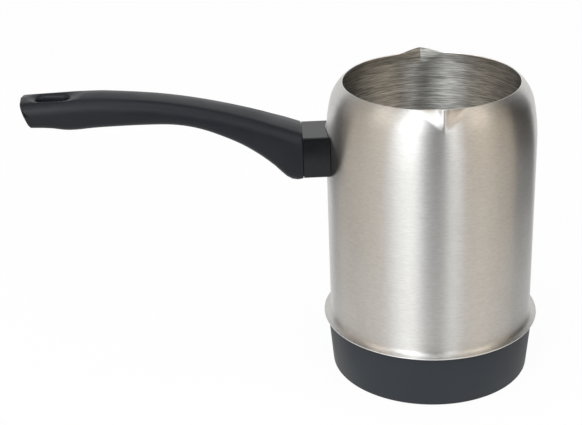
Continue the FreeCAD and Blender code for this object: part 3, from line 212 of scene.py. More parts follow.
steel_outside = worked_metal(
    "steel_outside", (0.55, 0.54, 0.52), (0.63, 0.62, 0.60), (420, 420, 2400), (0.40, 0.44),
    long=(60, 60, 1300), long_share=0.2, smear=0.93)
# The inner steel's colour runs from very dark to pale: coarse belt streaks, whose wide contrast is also
# painted shade and painted reflection inside the pot.
steel_inside = worked_metal(
    "steel_inside", (0.24, 0.235, 0.22), (0.84, 0.82, 0.78), (160, 160, 3000), (0.45, 0.50),
    long=(60, 60, 2000), long_share=0.4, smear=0.96)
steel_floor = worked_metal("steel_floor", (0.46, 0.45, 0.43), (0.60, 0.59, 0.57), (1500, 1500, 1500),
                           (0.34, 0.40), long=(700, 700, 700))
# Painted highlight: the cut edges are coloured much lighter than the wall steel, so that the rim reads as a
# bright line; their lower roughness is the polish.
steel_edge_painted_highlight = worked_metal("steel_edge_painted_highlight", (0.80, 0.79, 0.77), (0.90, 0.89, 0.87), (700, 700, 700), (0.34, 0.42))
zinc = worked_metal("zinc_plate", (0.50, 0.52, 0.55), (0.66, 0.68, 0.70), (900, 900, 900), (0.3, 0.45))
aluminium = worked_metal("aluminium_plate", (0.70, 0.70, 0.71), (0.84, 0.84, 0.85), (400, 400, 400),
                         (0.35, 0.5))
sheath_steel = worked_metal("element_sheath", (0.14, 0.12, 0.11), (0.30, 0.27, 0.24), (160, 160, 160),
                            (0.4, 0.6))
brass = worked_metal("brass", (0.62, 0.42, 0.15), (0.80, 0.58, 0.26), (500, 500, 1500), (0.25, 0.42))
bimetal = worked_metal("bimetal", (0.48, 0.42, 0.34), (0.60, 0.54, 0.44), (500, 500, 500), (0.25, 0.4))
print("metals:", [m.name for m in bpy.data.materials if m.name.startswith(("steel", "zinc", "brass"))])

# %% [markdown]
# Moulded plastic copies the mould's surface. The grip and the cup come from a spark-eroded mould, so they
# carry a fine even grain, while the collar's mould is polished. Grain is noise in the bump, at a third of a
# millimetre, and a slower noise varies the gloss where hands and cloths have rubbed.

# %% Node group: grain
grain, group_in, group_out = new_group("grain", [("Size", FLOAT, 3000.0), ("Rub", FLOAT, 40.0)],
                                       ["Height", "Wear"])
surface_place = add_node(grain, "ShaderNodeTexCoord")
for socket, result, detail in (("Size", "Height", 2.0), ("Rub", "Wear", 4.0)):
    noise = set_inputs(add_node(grain, "ShaderNodeTexNoise"), Detail=detail, Roughness=0.6)
    grain.links.new(surface_place.outputs["Object"], noise.inputs["Vector"])
    grain.links.new(group_in.outputs[socket], noise.inputs["Scale"])
    grain.links.new(noise.outputs[0], group_out.inputs[result])


# %% Plastics, rubber and ceramic
def moulded(name, dark, pale, rough, size=3000.0, rub=40.0, bump=0.00003, **values):
    """Moulded plastic: two close colours, roughness range and grain size per metre."""
    material, tree, shader = new_material(name, Metallic=0.0, **values)
    surface = use_group(tree, grain, Size=size, Rub=rub)
    wear = surface.outputs["Wear"]
    tree.links.new(two_colours(tree, dark, pale, wear), shader.inputs["Base Color"])
    tree.links.new(spread_between(tree, wear, *rough), shader.inputs["Roughness"])
    relief = set_inputs(add_node(tree, "ShaderNodeBump"), Strength=0.5, Distance=bump)
    tree.links.new(surface.outputs["Height"], relief.inputs["Height"])
    tree.links.new(relief.outputs["Normal"], shader.inputs["Normal"])
    return material


grip_black = moulded("grip_plastic", (0.006, 0.008, 0.011), (0.012, 0.014, 0.019), (0.36, 0.48),
                     Specular_IOR_Level=0.25)
collar_black = moulded("collar_plastic", (0.004, 0.005, 0.006), (0.008, 0.009, 0.010), (0.08, 0.16),
                       size=900.0, bump=0.000003, Specular_IOR_Level=0.3)
cup_slate = moulded("base_plastic", (0.016, 0.020, 0.025), (0.025, 0.030, 0.037), (0.44, 0.56),
                    Specular_IOR_Level=0.3)
coupler_ivory = moulded("coupler_plastic", (0.55, 0.53, 0.47), (0.66, 0.63, 0.56), (0.38, 0.5))
ceramic = moulded("ceramic", (0.70, 0.67, 0.60), (0.80, 0.77, 0.71), (0.5, 0.7), size=1800.0)
silicone = moulded("silicone", (0.26, 0.025, 0.018), (0.34, 0.04, 0.03), (0.45, 0.6), size=1500.0)

# %% Finish of the CAD nodes
FINISHES = {
    steel_outside: ("vessel_body",),
    steel_floor: ("vessel_floor",),
    aluminium: ("heat_spreader",),
    sheath_steel: ("heater_tube",),
    zinc: ("heater_cold_pins", "base_posts", "base_screws", "coupler_studs", "coupler_nuts",
           "handle_bracket", "handle_screw"),
    ceramic: ("heater_end_beads", "cutout_carrier", "line_push_pin", "neutral_push_pin"),
    cup_slate: ("base_cup",),
    silicone: ("base_seal",),
    coupler_ivory: ("coupler_body",),
    brass: ("live_pin", "neutral_ring", "earth_ring", "earth_strap", "line_contact_arm",
            "neutral_contact_arm", "line_heater_link", "neutral_heater_link", "line_fixed_contact",
            "neutral_fixed_contact"),
    bimetal: ("line_disc", "neutral_disc"),
    collar_black: ("handle_collar",),
    grip_black: ("handle_grip",),
}
for material, names in FINISHES.items():
    for name in names:
        slots = nodes[name].data.materials
        slots.clear()
        slots.append(material)
print("finished nodes:", sum(len(names) for names in FINISHES.values()), "of", len(nodes))

# %% [markdown]
# Modelling by hand starts from a primitive and shapes it in edit mode. Operators act on everything that is
# selected, so the helpers below deselect first and then pick vertices, edges or faces by where they are.

# %% Modelling helpers
def alone(obj):
    """Only this object is selected and active, in object mode."""
    if bpy.context.object and bpy.context.object.mode != "OBJECT":
        bpy.ops.object.mode_set(mode="OBJECT")
    bpy.ops.object.select_all(action="DESELECT")
    obj.select_set(True)
    bpy.context.view_layer.objects.active = obj
    return obj


def pick(obj, kind, test):
    """Enter edit mode with the vertices, edges or faces selected whose places pass a test."""
    alone(obj)
    bpy.ops.object.mode_set(mode="EDIT")
    bpy.ops.mesh.select_mode(type=kind)
    bpy.ops.mesh.select_all(action="DESELECT")
    bpy.ops.object.mode_set(mode="OBJECT")
    mesh = obj.data
    if kind == "VERT":
        for vertex in mesh.vertices:
            vertex.select = not vertex.hide and test(vertex.co)
    elif kind == "EDGE":
        for edge in mesh.edges:
            edge.select = test(*(mesh.vertices[index].co for index in edge.vertices))
    else:
        for face in mesh.polygons:
            face.select = test(face.center, face.normal)
    bpy.ops.object.mode_set(mode="EDIT")


def add_primitive(operator, **settings):
    """A new primitive with nothing else selected, its place applied to its mesh."""
    bpy.ops.object.select_all(action="DESELECT")
    operator(**settings)
    bpy.ops.object.transform_apply(location=True, rotation=True, scale=True)
    return bpy.context.active_object


def apply(obj, kind, **settings):
    """Add a modifier, set it and apply it."""
    alone(obj)
    modifier = obj.modifiers.new(kind.lower(), kind)
    for name, value in settings.items():
        setattr(modifier, name, value)
    bpy.ops.object.modifier_apply(modifier=modifier.name)


def cut_away(obj, cutter):
    """Take the cutter's shape out of a piece, and the cutter out of the scene."""
    apply(obj, "BOOLEAN", operation="DIFFERENCE", solver="EXACT", object=cutter)
    bpy.data.objects.remove(cutter)


def ready(obj, name, material, node, smooth_degrees):
    """Smooth the shading and let the piece stand for its CAD node."""
    alone(obj)
    bpy.ops.object.shade_smooth_by_angle(angle=math.radians(smooth_degrees))
    obj.name = name
    obj.data.name = name
    if not obj.data.materials:
        obj.data.materials.append(material)
    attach(obj, "pot")
    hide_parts(node)
    print(name, "faces:", len(obj.data.polygons),
          "size mm:", [round(side / MM, 1) for side in obj.dimensions])


# %% [markdown]
# The pot itself is one sheet of steel, drawn into a can, pinched in at the shoulder and flared at the foot.
# Its section is a line, so the piece is made as a ring that is extruded and resized from level to level,
# up the wall and round the shoulder. The sheet gets its thickness afterwards, from a Solidify modifier.

# %% Section of the steel vessel
low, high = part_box("vessel_body")
SHEET = 0.5 * MM
LIP_RISE = 1.2 * MM
FLARE_RADIUS = 2.5 * MM
FLARE_REACH = 2.7 * MM
WALL_TAPER = 0.4 * MM
SHOULDER_DROP = 27.9 * MM
LONG_RADIUS = 90 * MM
LONG_TURN = math.radians(11.7)
SHORT_RADIUS = 17 * MM
RIM_LEVEL = high.z - LIP_RISE
WALL_RADIUS = high.x - FLARE_REACH
FLARE_LEVEL = low.z + SHEET + FLARE_RADIUS
SHOULDER_LEVEL = RIM_LEVEL - SHOULDER_DROP
FLARE_STEPS = 10
WALL_STEPS = 8
LONG_STEPS = 6
SHORT_STEPS = 20


def arc(centre, radius, first, last, steps):
    """Points on an arc, without its first one."""
    angles = [first + (last - first) * step / steps for step in range(1, steps + 1)]
    return [(centre[0] + radius * math.cos(a), centre[1] + radius * math.sin(a)) for a in angles]


leap = LONG_RADIUS - SHORT_RADIUS
long_centre = (WALL_RADIUS - LONG_RADIUS, SHOULDER_LEVEL)
short_centre = (long_centre[0] + leap * math.cos(LONG_TURN), long_centre[1] + leap * math.sin(LONG_TURN))
rim_turn = math.asin((RIM_LEVEL - short_centre[1]) / SHORT_RADIUS)
flare_centre = (WALL_RADIUS - WALL_TAPER + FLARE_RADIUS, FLARE_LEVEL)
section = [(high.x, low.z + SHEET), (flare_centre[0], low.z + SHEET)]
section += arc(flare_centre, FLARE_RADIUS, math.radians(270), math.radians(180), FLARE_STEPS)
for step in range(1, WALL_STEPS + 1):
    share = step / WALL_STEPS
    section.append((WALL_RADIUS - WALL_TAPER * (1 - share),
                    FLARE_LEVEL + (SHOULDER_LEVEL - FLARE_LEVEL) * share))
section += arc(long_centre, LONG_RADIUS, 0, LONG_TURN, LONG_STEPS)
section += arc(short_centre, SHORT_RADIUS, LONG_TURN, rim_turn, SHORT_STEPS)
RIM_RADIUS = section[-1][0]
print("section points:", len(section), "rim radius mm:", round(RIM_RADIUS / MM, 2))

# %% Raise the vessel ring by ring
SAME_LEVEL = 0.01 * MM
RING_POINTS = 480


def extrude_rings(corners, points):
    """Raise a round sheet from (radius, level) corners. If the last one is the first, the ends are joined."""
    piece = add_primitive(bpy.ops.mesh.primitive_circle_add, vertices=points, radius=corners[0][0],
                          location=(0, 0, corners[0][1]))
    bpy.ops.object.mode_set(mode="EDIT")
    bpy.ops.mesh.select_all(action="SELECT")
    for (radius, level), (next_radius, next_level) in zip(corners, corners[1:]):
        bpy.ops.mesh.extrude_region_move(TRANSFORM_OT_translate={"value": (0, 0, next_level - level)})
        factor = next_radius / radius
        bpy.ops.transform.resize(value=(factor, factor, 1), center_override=(0, 0, next_level))
    bpy.ops.mesh.select_all(action="SELECT")
    if corners[0] == corners[-1]:
        bpy.ops.mesh.remove_doubles(threshold=SAME_LEVEL)
    bpy.ops.mesh.normals_make_consistent(inside=False)
    bpy.ops.object.mode_set(mode="OBJECT")
    print("rings:", len(piece.data.vertices) // points)
    return piece


vessel = extrude_rings(section, RING_POINTS)

# %% [markdown]
# The two lips are pressed out of the finished rim, which leaves a short groove with soft sides and a narrow
# crease down its middle. By hand this is proportional editing: the point at the tip is pulled out, and its
# neighbours on the same ring follow, less and less. A wide pull makes the sides, and a narrow one
# the crease. Each ring is pulled as far as the groove's line, which leans out on its way down.

# %% Press the lips
LIP_REACH = 43.6 * MM
LIP_DEPTH = 9.5 * MM
LIP_HALF_WIDTH = 11.5 * MM
CREASE_HALF_WIDTH = 2.8 * MM
CREASE_SHARE = 0.18


def pull_tip(side, level, pulls):
    """Pull one ring's tip, with its neighbours on the ring following. A pull is (out, up, reach, falloff)."""
    pick(vessel, "VERT", lambda spot: abs(spot.z - level) < SAME_LEVEL and spot.y * side > 0)
    bpy.ops.mesh.hide(unselected=True)
    bpy.ops.mesh.select_all(action="DESELECT")
    bpy.ops.object.mode_set(mode="OBJECT")
    for vertex in vessel.data.vertices:
        vertex.select = not vertex.hide and abs(vertex.co.x) < SAME_LEVEL
    bpy.ops.object.mode_set(mode="EDIT")
    for out, up, reach, falloff in pulls:
        bpy.ops.transform.translate(value=(0, side * out, up), use_proportional_edit=True,
                                    proportional_edit_falloff=falloff, proportional_size=reach)
    bpy.ops.mesh.reveal(select=False)
    bpy.ops.object.mode_set(mode="OBJECT")


full_pull = LIP_REACH - RIM_RADIUS
lip_foot = RIM_LEVEL - LIP_DEPTH
below, above = [pair for pair in zip(section, section[1:]) if pair[0][1] <= lip_foot < pair[1][1]][0]
foot_radius = below[0] + (above[0] - below[0]) * (lip_foot - below[1]) / (above[1] - below[1])
lip_lean = foot_radius - LIP_REACH
for side in (1, -1):
    for radius, level in reversed(section):
        share = (level - lip_foot) / LIP_DEPTH
        pull = LIP_REACH + lip_lean * (1 - share) - radius
        if share <= 0 or pull <= 0:
            break
        fade = math.sqrt(pull / full_pull)
        rise = LIP_RISE if level == section[-1][1] else 0
        pull_tip(side, level, [
            (pull * (1 - CREASE_SHARE), rise, LIP_HALF_WIDTH * fade, "SMOOTH"),
            (pull * CREASE_SHARE, 0, CREASE_HALF_WIDTH * fade, "SMOOTH"),
        ])
print("lip reach mm:", round(max(v.co.y for v in vessel.data.vertices if v.co.z > RIM_LEVEL - MM) / MM, 2))

# %% [markdown]
# Solidify gives the sheet its thickness inwards. It can also hand out finishes: the new inner skin takes the
# next material in the list and the cut edges take the one after that. Belt marks inside are coarser, because
# a wheel that turns in the mouth makes them, and their colour runs from very dark to pale, which is partly
# painted shade and painted reflection inside the pot. The cut edges are polished so that they don't scratch,
# and their colour is painted much lighter, as a painted highlight along the rim.

# %% Sheet thickness and smoothed edges
EDGE_ROUND = 0.2 * MM
for material in (steel_outside, steel_inside, steel_edge_painted_highlight):
    vessel.data.materials.append(material)
apply(vessel, "SOLIDIFY", thickness=SHEET, offset=-1, use_even_offset=True, material_offset=1,
      material_offset_rim=2)
apply(vessel, "BEVEL", width=EDGE_ROUND, segments=3, limit_method="ANGLE", angle_limit=math.radians(60))
ready(vessel, "vessel_shell", steel_outside, "vessel_body", 45)
print("faces by finish:", [sum(face.material_index == i for face in vessel.data.polygons) for i in range(3)])

# %% [markdown]
# The cup under the pot is a moulding with a thin wall. Its section is a closed outline, so the same way of
# extruding a ring from level to level makes it, and the last ring meets the first. The wall leans outwards
# on its way up, which lets the cup leave its mould, and its lower edge is rounded.

# %% The base cup's wall
CUP_FOOT = 46.1 * MM
CUP_TOP = 48.2 * MM
CUP_WALL = 2.2 * MM
CUP_EDGE = 1.2 * MM
CUP_TOP_EDGE = 0.4 * MM
CUP_GAP = 0.5 * MM
REST_INSIDE = 41.9 * MM
SPIGOT_OUTSIDE = 45.9 * MM
SPIGOT_INSIDE = 44.0 * MM
SPIGOT_TOP = 31.6 * MM
PANEL_FOOT = 3.0 * MM
PANEL_TOP = 5.0 * MM
SOCKET_HOLE = 18.0 * MM
CUP_POINTS = 256
CUP_EDGE_STEPS = 6
CUP_TOP_STEPS = 3
cup_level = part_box("vessel_body")[0].z - CUP_GAP
foot_centre = (CUP_FOOT - CUP_EDGE, CUP_EDGE)
top_centre = (CUP_TOP - CUP_TOP_EDGE, cup_level - CUP_TOP_EDGE)
cup_corners = [(REST_INSIDE, 0), (CUP_FOOT - CUP_EDGE, 0)]
cup_corners += arc(foot_centre, CUP_EDGE, math.radians(270), math.radians(360), CUP_EDGE_STEPS)
cup_corners += [(CUP_TOP, cup_level - CUP_TOP_EDGE)]
cup_corners += arc(top_centre, CUP_TOP_EDGE, 0, math.pi / 2, CUP_TOP_STEPS)
cup_corners += [(SPIGOT_OUTSIDE, cup_level), (SPIGOT_OUTSIDE, SPIGOT_TOP), (SPIGOT_INSIDE, SPIGOT_TOP)]
cup_corners += [(CUP_FOOT - CUP_WALL, PANEL_TOP), (SOCKET_HOLE, PANEL_TOP), (SOCKET_HOLE, PANEL_FOOT)]
cup_corners += [(REST_INSIDE, PANEL_FOOT)]
cup = extrude_rings(cup_corners + cup_corners[:1], CUP_POINTS)

# %% Bosses and screw wells of the cup
POST_CIRCLE = 36.6 * MM
POST_ANGLES = (60, 180, 300)
BOSS_RADIUS = 4.3 * MM
BOSS_TOP = 14.0 * MM
WELL_RADIUS = 3.2 * MM
WELL_TOP = 5.2 * MM
SHANK_HOLE = 1.55 * MM
HOLE_POINTS = 48


def upright(radius, foot, top, x=0, y=0, points=HOLE_POINTS):
    """A cylinder that stands between two levels."""
    return add_primitive(bpy.ops.mesh.primitive_cylinder_add, vertices=points, radius=radius,
                         depth=top - foot, location=(x, y, (foot + top) / 2))


for degrees in POST_ANGLES:
    x = POST_CIRCLE * math.cos(math.radians(degrees))
    y = POST_CIRCLE * math.sin(math.radians(degrees))
    boss = upright(BOSS_RADIUS, (PANEL_FOOT + PANEL_TOP) / 2, BOSS_TOP, x, y)
    apply(cup, "BOOLEAN", operation="UNION", solver="EXACT", object=boss)
    bpy.data.objects.remove(boss)
    cut_away(cup, upright(WELL_RADIUS, -MM, WELL_TOP, x, y))
    cut_away(cup, upright(SHANK_HOLE, PANEL_TOP, BOSS_TOP + MM, x, y))
ready(cup, "base_cup_moulding", cup_slate, "base_cup", 30)

# %% [markdown]
# The collar is a short polished sleeve between the pot and the grip. It starts as a block, whose long edges
# are rounded with the bevel tool. A round cutter as wide as the pot hollows its end, so that it sits on the
# wall, and a narrow step on the other end makes the thin dark line where the grip begins.

# %% The collar
COLLAR_EDGE = 0.9 * MM
CUT_EDGE = 0.25 * MM
CUT_EDGE_TURN = math.radians(50)
SEAM_INSET = 0.8 * MM
WALL_GAP = 0.15 * MM
POT_POINTS = 256
TONGUE_PLAY = 0.3 * MM
TONGUE_HALF = (6.0 * MM + TONGUE_PLAY, 1.5 * MM + TONGUE_PLAY)
SADDLE_ROOM = (9.3 * MM, 7.3 * MM)
SADDLE_DEPTH = 1.5 * MM
INSIDE_SHARE = 0.8
FACING = 0.9
collar_low, collar_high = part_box("handle_collar")
grip_low, grip_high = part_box("handle_grip")
handle_level = (collar_low.z + collar_high.z) / 2
inside_pot = -WALL_RADIUS * INSIDE_SHARE


def block(name, first, last):
    """A box between two corners."""
    piece = add_primitive(bpy.ops.mesh.primitive_cube_add, size=1)
    for vertex in piece.data.vertices:
        vertex.co = Vector(last[axis] if vertex.co[axis] > 0 else first[axis] for axis in range(3))
    piece.name = name
    return piece


def opening(name, far, half):
    """A block from inside the pot to a far end, given half its width and height, at the handle's level."""
    return block(name, (far, -half[0], handle_level - half[1]), (inside_pot, half[0], handle_level + half[1]))


collar = block("collar", collar_low, (inside_pot, collar_high.y, collar_high.z))
pick(collar, "EDGE", lambda a, b: abs(a.x - b.x) > MM)
bpy.ops.mesh.bevel(offset=COLLAR_EDGE, segments=4, affect="EDGES")
bpy.ops.object.mode_set(mode="OBJECT")
pick(collar, "FACE", lambda centre, normal: normal.x < -FACING)
bpy.ops.mesh.inset(thickness=SEAM_INSET, depth=0)
bpy.ops.mesh.extrude_region_move(TRANSFORM_OT_translate={"value": (grip_high.x - collar_low.x, 0, 0)})
bpy.ops.object.mode_set(mode="OBJECT")
cut_away(collar, upright(WALL_RADIUS + WALL_GAP, 0, RIM_LEVEL, points=POT_POINTS))
cut_away(collar, opening("saddle_room", -WALL_RADIUS - SADDLE_DEPTH, SADDLE_ROOM))
cut_away(collar, opening("tongue_way", grip_low.x, TONGUE_HALF))
apply(collar, "BEVEL", width=CUT_EDGE, segments=2, limit_method="ANGLE", angle_limit=CUT_EDGE_TURN)
ready(collar, "collar_moulding", collar_black, "handle_collar", 40)
apply(collar, "WEIGHTED_NORMAL", keep_sharp=True, weight=100)

# %% [markdown]
# The grip is a long S in side view, and it is drawn here like a lofted hull: a face is extruded from station
# to station and resized at each. The stations are measured along the handle, and a smooth curve through them
# gives the levels between. The top is crowned by raising its middle line, and rounding the four long edges
# then turns the square hull into a handle.

# %% Stations of the grip
GRIP_STATIONS = [
    # millimetres: from the pot's wall, top and bottom from the handle's level, half width
    (10.85, 10.8, -10.3, 12.0),
    (14.7, 12.2, -10.6, 12.0),
    (18.7, 13.7, -8.5, 11.9),
    (22.7, 15.0, -4.3, 11.7),
    (28.7, 17.1, 0.8, 11.3),
    (36.7, 19.6, 6.3, 10.9),
    (45.7, 22.1, 10.9, 10.6),
    (55.7, 24.5, 14.9, 10.4),
    (65.7, 26.5, 17.1, 10.2),
    (76.7, 28.2, 17.7, 10.0),
    (96.7, 30.1, 17.6, 10.0),
    (104.2, 30.3, 17.3, 10.0),
    (109.7, 30.3, 16.9, 10.0),
    (114.7, 30.2, 17.0, 10.0),
    (120.7, 30.0, 18.0, 10.0),
    (127.7, 29.8, 18.5, 10.0),
    (139.7, 29.4, 18.7, 10.0),
]
GRIP_STEP = 2.5


def smooth_station(along):
    """Top, bottom and half width at a distance along the grip, on a smooth curve through the stations."""
    last = len(GRIP_STATIONS) - 1
    index = max(i for i in range(last) if GRIP_STATIONS[i][0] <= along or i == 0)
    start, end = GRIP_STATIONS[index], GRIP_STATIONS[index + 1]
    before, after = GRIP_STATIONS[max(index - 1, 0)], GRIP_STATIONS[min(index + 2, last)]
    span = end[0] - start[0]
    share = (along - start[0]) / span
    values = []
    for column in (1, 2, 3):
        leave = (end[column] - before[column]) / (end[0] - before[0]) * span
        arrive = (after[column] - start[column]) / (after[0] - start[0]) * span
        values.append(start[column] * (2 * share ** 3 - 3 * share ** 2 + 1)
                      + leave * (share ** 3 - 2 * share ** 2 + share)
                      + end[column] * (3 * share ** 2 - 2 * share ** 3)
                      + arrive * (share ** 3 - share ** 2))
    return values


def grip_ring(along):
    """Centre of the grip's section, its half width and its half height, in metres."""
    top, bottom, half = smooth_station(along)
    centre = Vector((-WALL_RADIUS - along * MM, 0, handle_level + (top + bottom) / 2 * MM))
    return centre, half * MM, (top - bottom) / 2 * MM


# %% Extrude the grip
first, last = GRIP_STATIONS[0][0], GRIP_STATIONS[-1][0]
steps = round((last - first) / GRIP_STEP)
rings = [grip_ring(first + (last - first) * step / steps) for step in range(steps + 1)]
centre, half, tall = rings[0]
grip = add_primitive(bpy.ops.mesh.primitive_plane_add, size=2, location=(0, 0, 0),
                     rotation=(0, math.pi / 2, 0))
pick(grip, "EDGE", lambda a, b: abs(a.z - b.z) < SAME_LEVEL)
bpy.ops.mesh.subdivide(number_cuts=1)
bpy.ops.mesh.select_all(action="SELECT")
bpy.ops.transform.resize(value=(1, half, tall), center_override=(0, 0, 0))
bpy.ops.transform.translate(value=centre)
for (here, half, tall), (there, next_half, next_tall) in zip(rings, rings[1:]):
    bpy.ops.mesh.extrude_region_move(TRANSFORM_OT_translate={"value": there - here})
    bpy.ops.transform.resize(value=(1, next_half / half, next_tall / tall), center_override=there)
bpy.ops.mesh.select_all(action="SELECT")
bpy.ops.mesh.normals_make_consistent(inside=False)
bpy.ops.object.mode_set(mode="OBJECT")
print("grip rings:", len(rings))

# %% Round the grip's long edges and cut its end
CROWN = 1.4 * MM
CREST_RISE = 0.9 * MM
TOP_EDGE = 5.0 * MM
BOTTOM_EDGE = 3.4 * MM
END_EDGE = 0.9 * MM
JOINT_EDGE = 0.5 * MM
END_TOP, END_BOTTOM = 134.1 * MM, 130.0 * MM
NEAR_BOTTOM, NEAR_TOP = 0.1, 0.9


def height_share(spot):
    """0 at the grip's bottom and 1 at its top, at a point's place along the grip."""
    top, bottom, _ = smooth_station((-spot.x - WALL_RADIUS) / MM)
    return ((spot.z - handle_level) / MM - bottom) / (top - bottom)


pick(grip, "EDGE", lambda a, b: abs(a.x - b.x) > MM and abs(a.y) > MM and height_share(a) < NEAR_BOTTOM)
bpy.ops.mesh.bevel(offset=BOTTOM_EDGE, segments=6, affect="EDGES", clamp_overlap=False)
bpy.ops.object.mode_set(mode="OBJECT")
pick(grip, "VERT", lambda spot: abs(spot.y) < MM and height_share(spot) > NEAR_TOP)
bpy.ops.transform.translate(value=(0, 0, CREST_RISE))
bpy.ops.object.mode_set(mode="OBJECT")
pick(grip, "VERT", lambda spot: abs(spot.y) > MM and height_share(spot) > NEAR_TOP)
bpy.ops.transform.translate(value=(0, 0, CREST_RISE - CROWN))
bpy.ops.mesh.select_mode(type="EDGE")
bpy.ops.mesh.bevel(offset=TOP_EDGE, segments=8, affect="EDGES", clamp_overlap=False)
end_top, end_bottom, _ = smooth_station(END_TOP / MM)
end_point = Vector((-WALL_RADIUS - END_TOP, 0, handle_level + end_top * MM))
end_normal = Vector((-(end_top - end_bottom) * MM, 0, END_BOTTOM - END_TOP)).normalized()
bpy.ops.mesh.select_all(action="SELECT")
bpy.ops.mesh.bisect(plane_co=end_point, plane_no=end_normal, use_fill=True, clear_outer=True)
bpy.ops.object.mode_set(mode="OBJECT")


def on_end(spot):
    """Whether a point lies on the slanted cut at the grip's end."""
    return abs((spot - end_point).dot(end_normal)) < SAME_LEVEL


pick(grip, "EDGE", lambda a, b: on_end(a) and on_end(b))
bpy.ops.mesh.bevel(offset=END_EDGE, segments=3, affect="EDGES")
bpy.ops.object.mode_set(mode="OBJECT")
pick(grip, "EDGE", lambda a, b: max(abs(a.x - grip_high.x), abs(b.x - grip_high.x)) < SAME_LEVEL)
bpy.ops.mesh.bevel(offset=JOINT_EDGE, segments=2, affect="EDGES")
bpy.ops.object.mode_set(mode="OBJECT")
print("grip length mm:", round(grip.dimensions.x / MM, 1))

# %% [markdown]
# The hanging slot goes right through, with a mouth that opens out like a dish, so that a hook slips in. Its
# cutter is a cylinder pulled apart into a stadium. Its top is then extruded and widened step by step, and the
# last step lies above the grip.

# %% Hanging slot
SLOT_CENTRE = 120.4 * MM
SLOT_LENGTH = 14.4 * MM
SLOT_WIDTH = 7.6 * MM
SLOT_POINTS = 64
SLOT_SPARE = 5 * MM
# millimetres: up, and out on each side
MOUTH_STEPS = [(0.7, 0.25), (0.5, 0.5), (0.4, 0.9), (0.3, 1.2), (1.2, 4.8)]
MOUTH_DEPTH = 1.9 * MM
slot_top, slot_bottom, _ = smooth_station(SLOT_CENTRE / MM)
slot_x = -WALL_RADIUS - SLOT_CENTRE
mouth_foot = handle_level + slot_top * MM - MOUTH_DEPTH
slot_foot = handle_level + slot_bottom * MM - SLOT_SPARE
slot = upright(SLOT_WIDTH / 2, slot_foot, mouth_foot, slot_x, 0, SLOT_POINTS)
for end in (1, -1):
    pick(slot, "VERT", lambda spot: (spot.x - slot_x) * end > SAME_LEVEL)
    bpy.ops.transform.translate(value=(end * (SLOT_LENGTH - SLOT_WIDTH) / 2, 0, 0))
    bpy.ops.object.mode_set(mode="OBJECT")
pick(slot, "FACE", lambda centre, normal: normal.z > FACING)
length, width, level = SLOT_LENGTH, SLOT_WIDTH, mouth_foot
for rise, reach in MOUTH_STEPS:
    bpy.ops.mesh.extrude_region_move(TRANSFORM_OT_translate={"value": (0, 0, rise * MM)})
    level += rise * MM
    growth = 2 * reach * MM
    bpy.ops.transform.resize(value=((length + growth) / length, (width + growth) / width, 1),
                             center_override=(slot_x, 0, level))
    length += growth
    width += growth
bpy.ops.object.mode_set(mode="OBJECT")
cut_away(grip, slot)

# %% Screw well and tongue socket
TONGUE_BEND = 13.7 * MM
TONGUE_END = 36.7 * MM
TONGUE_RISE = 14.0 * MM
SCREW_STATION = 27.7 * MM
SCREW_WELL = 3.9 * MM
SCREW_LEDGE = 4.2 * MM
SCREW_WELL_DEPTH = 14.0 * MM
SCREW_HOLE = 2.3 * MM
SCREW_TIP = 3.3 * MM
tongue_slope = math.atan2(TONGUE_RISE, TONGUE_END - TONGUE_BEND)
screw_axis = Vector((math.sin(tongue_slope), 0, math.cos(tongue_slope)))
screw_middle = Vector((-WALL_RADIUS - SCREW_STATION, 0,
                       handle_level + (SCREW_STATION - TONGUE_BEND) * math.tan(tongue_slope)))


def slanted(radius, low, high):
    """Cylinder on the handle screw's axis between two distances from the tongue."""
    return add_primitive(bpy.ops.mesh.primitive_cylinder_add, vertices=HOLE_POINTS, radius=radius,
                         depth=high - low, location=screw_middle + screw_axis * (low + high) / 2,
                         rotation=(0, tongue_slope, 0))


cut_away(grip, slanted(SCREW_WELL, -SCREW_LEDGE - SCREW_WELL_DEPTH, -SCREW_LEDGE))
cut_away(grip, slanted(SCREW_HOLE, -SCREW_LEDGE - MM, SCREW_TIP))
socket = opening("socket", -WALL_RADIUS - TONGUE_BEND, TONGUE_HALF)
pick(socket, "FACE", lambda centre, normal: normal.x < -FACING)
bpy.ops.mesh.extrude_region_move(
    TRANSFORM_OT_translate={"value": (TONGUE_BEND - TONGUE_END, 0, TONGUE_RISE)})
bpy.ops.object.mode_set(mode="OBJECT")
cut_away(grip, socket)
ready(grip, "grip_moulding", grip_black, "handle_grip", 35)

# %% [markdown]
# The studio is a white table under soft light. What the camera and the metal see of the table and the room
# is mostly plain white, as on an overexposed sweep, while the plastic is lit by the lamps and a dim room.
# The Light Path node tells the two apart, and the table keeps some of the shadow. From below the table is
# clear, so that the pot's underside can be looked at.

# %% Table and room
def seen_directly(tree):
    """1 for what the camera, a mirror or glass sees, 0 for light that falls on a matt surface."""
    path = add_node(tree, "ShaderNodeLightPath")
    total = path.outputs["Is Camera Ray"]
    for ray in ("Is Glossy Ray", "Is Transmission Ray"):
        larger = add_node(tree, "ShaderNodeMath", operation="MAXIMUM")
        tree.links.new(total, larger.inputs[0])
        tree.links.new(path.outputs[ray], larger.inputs[1])
        total = larger.outputs[0]
    return total


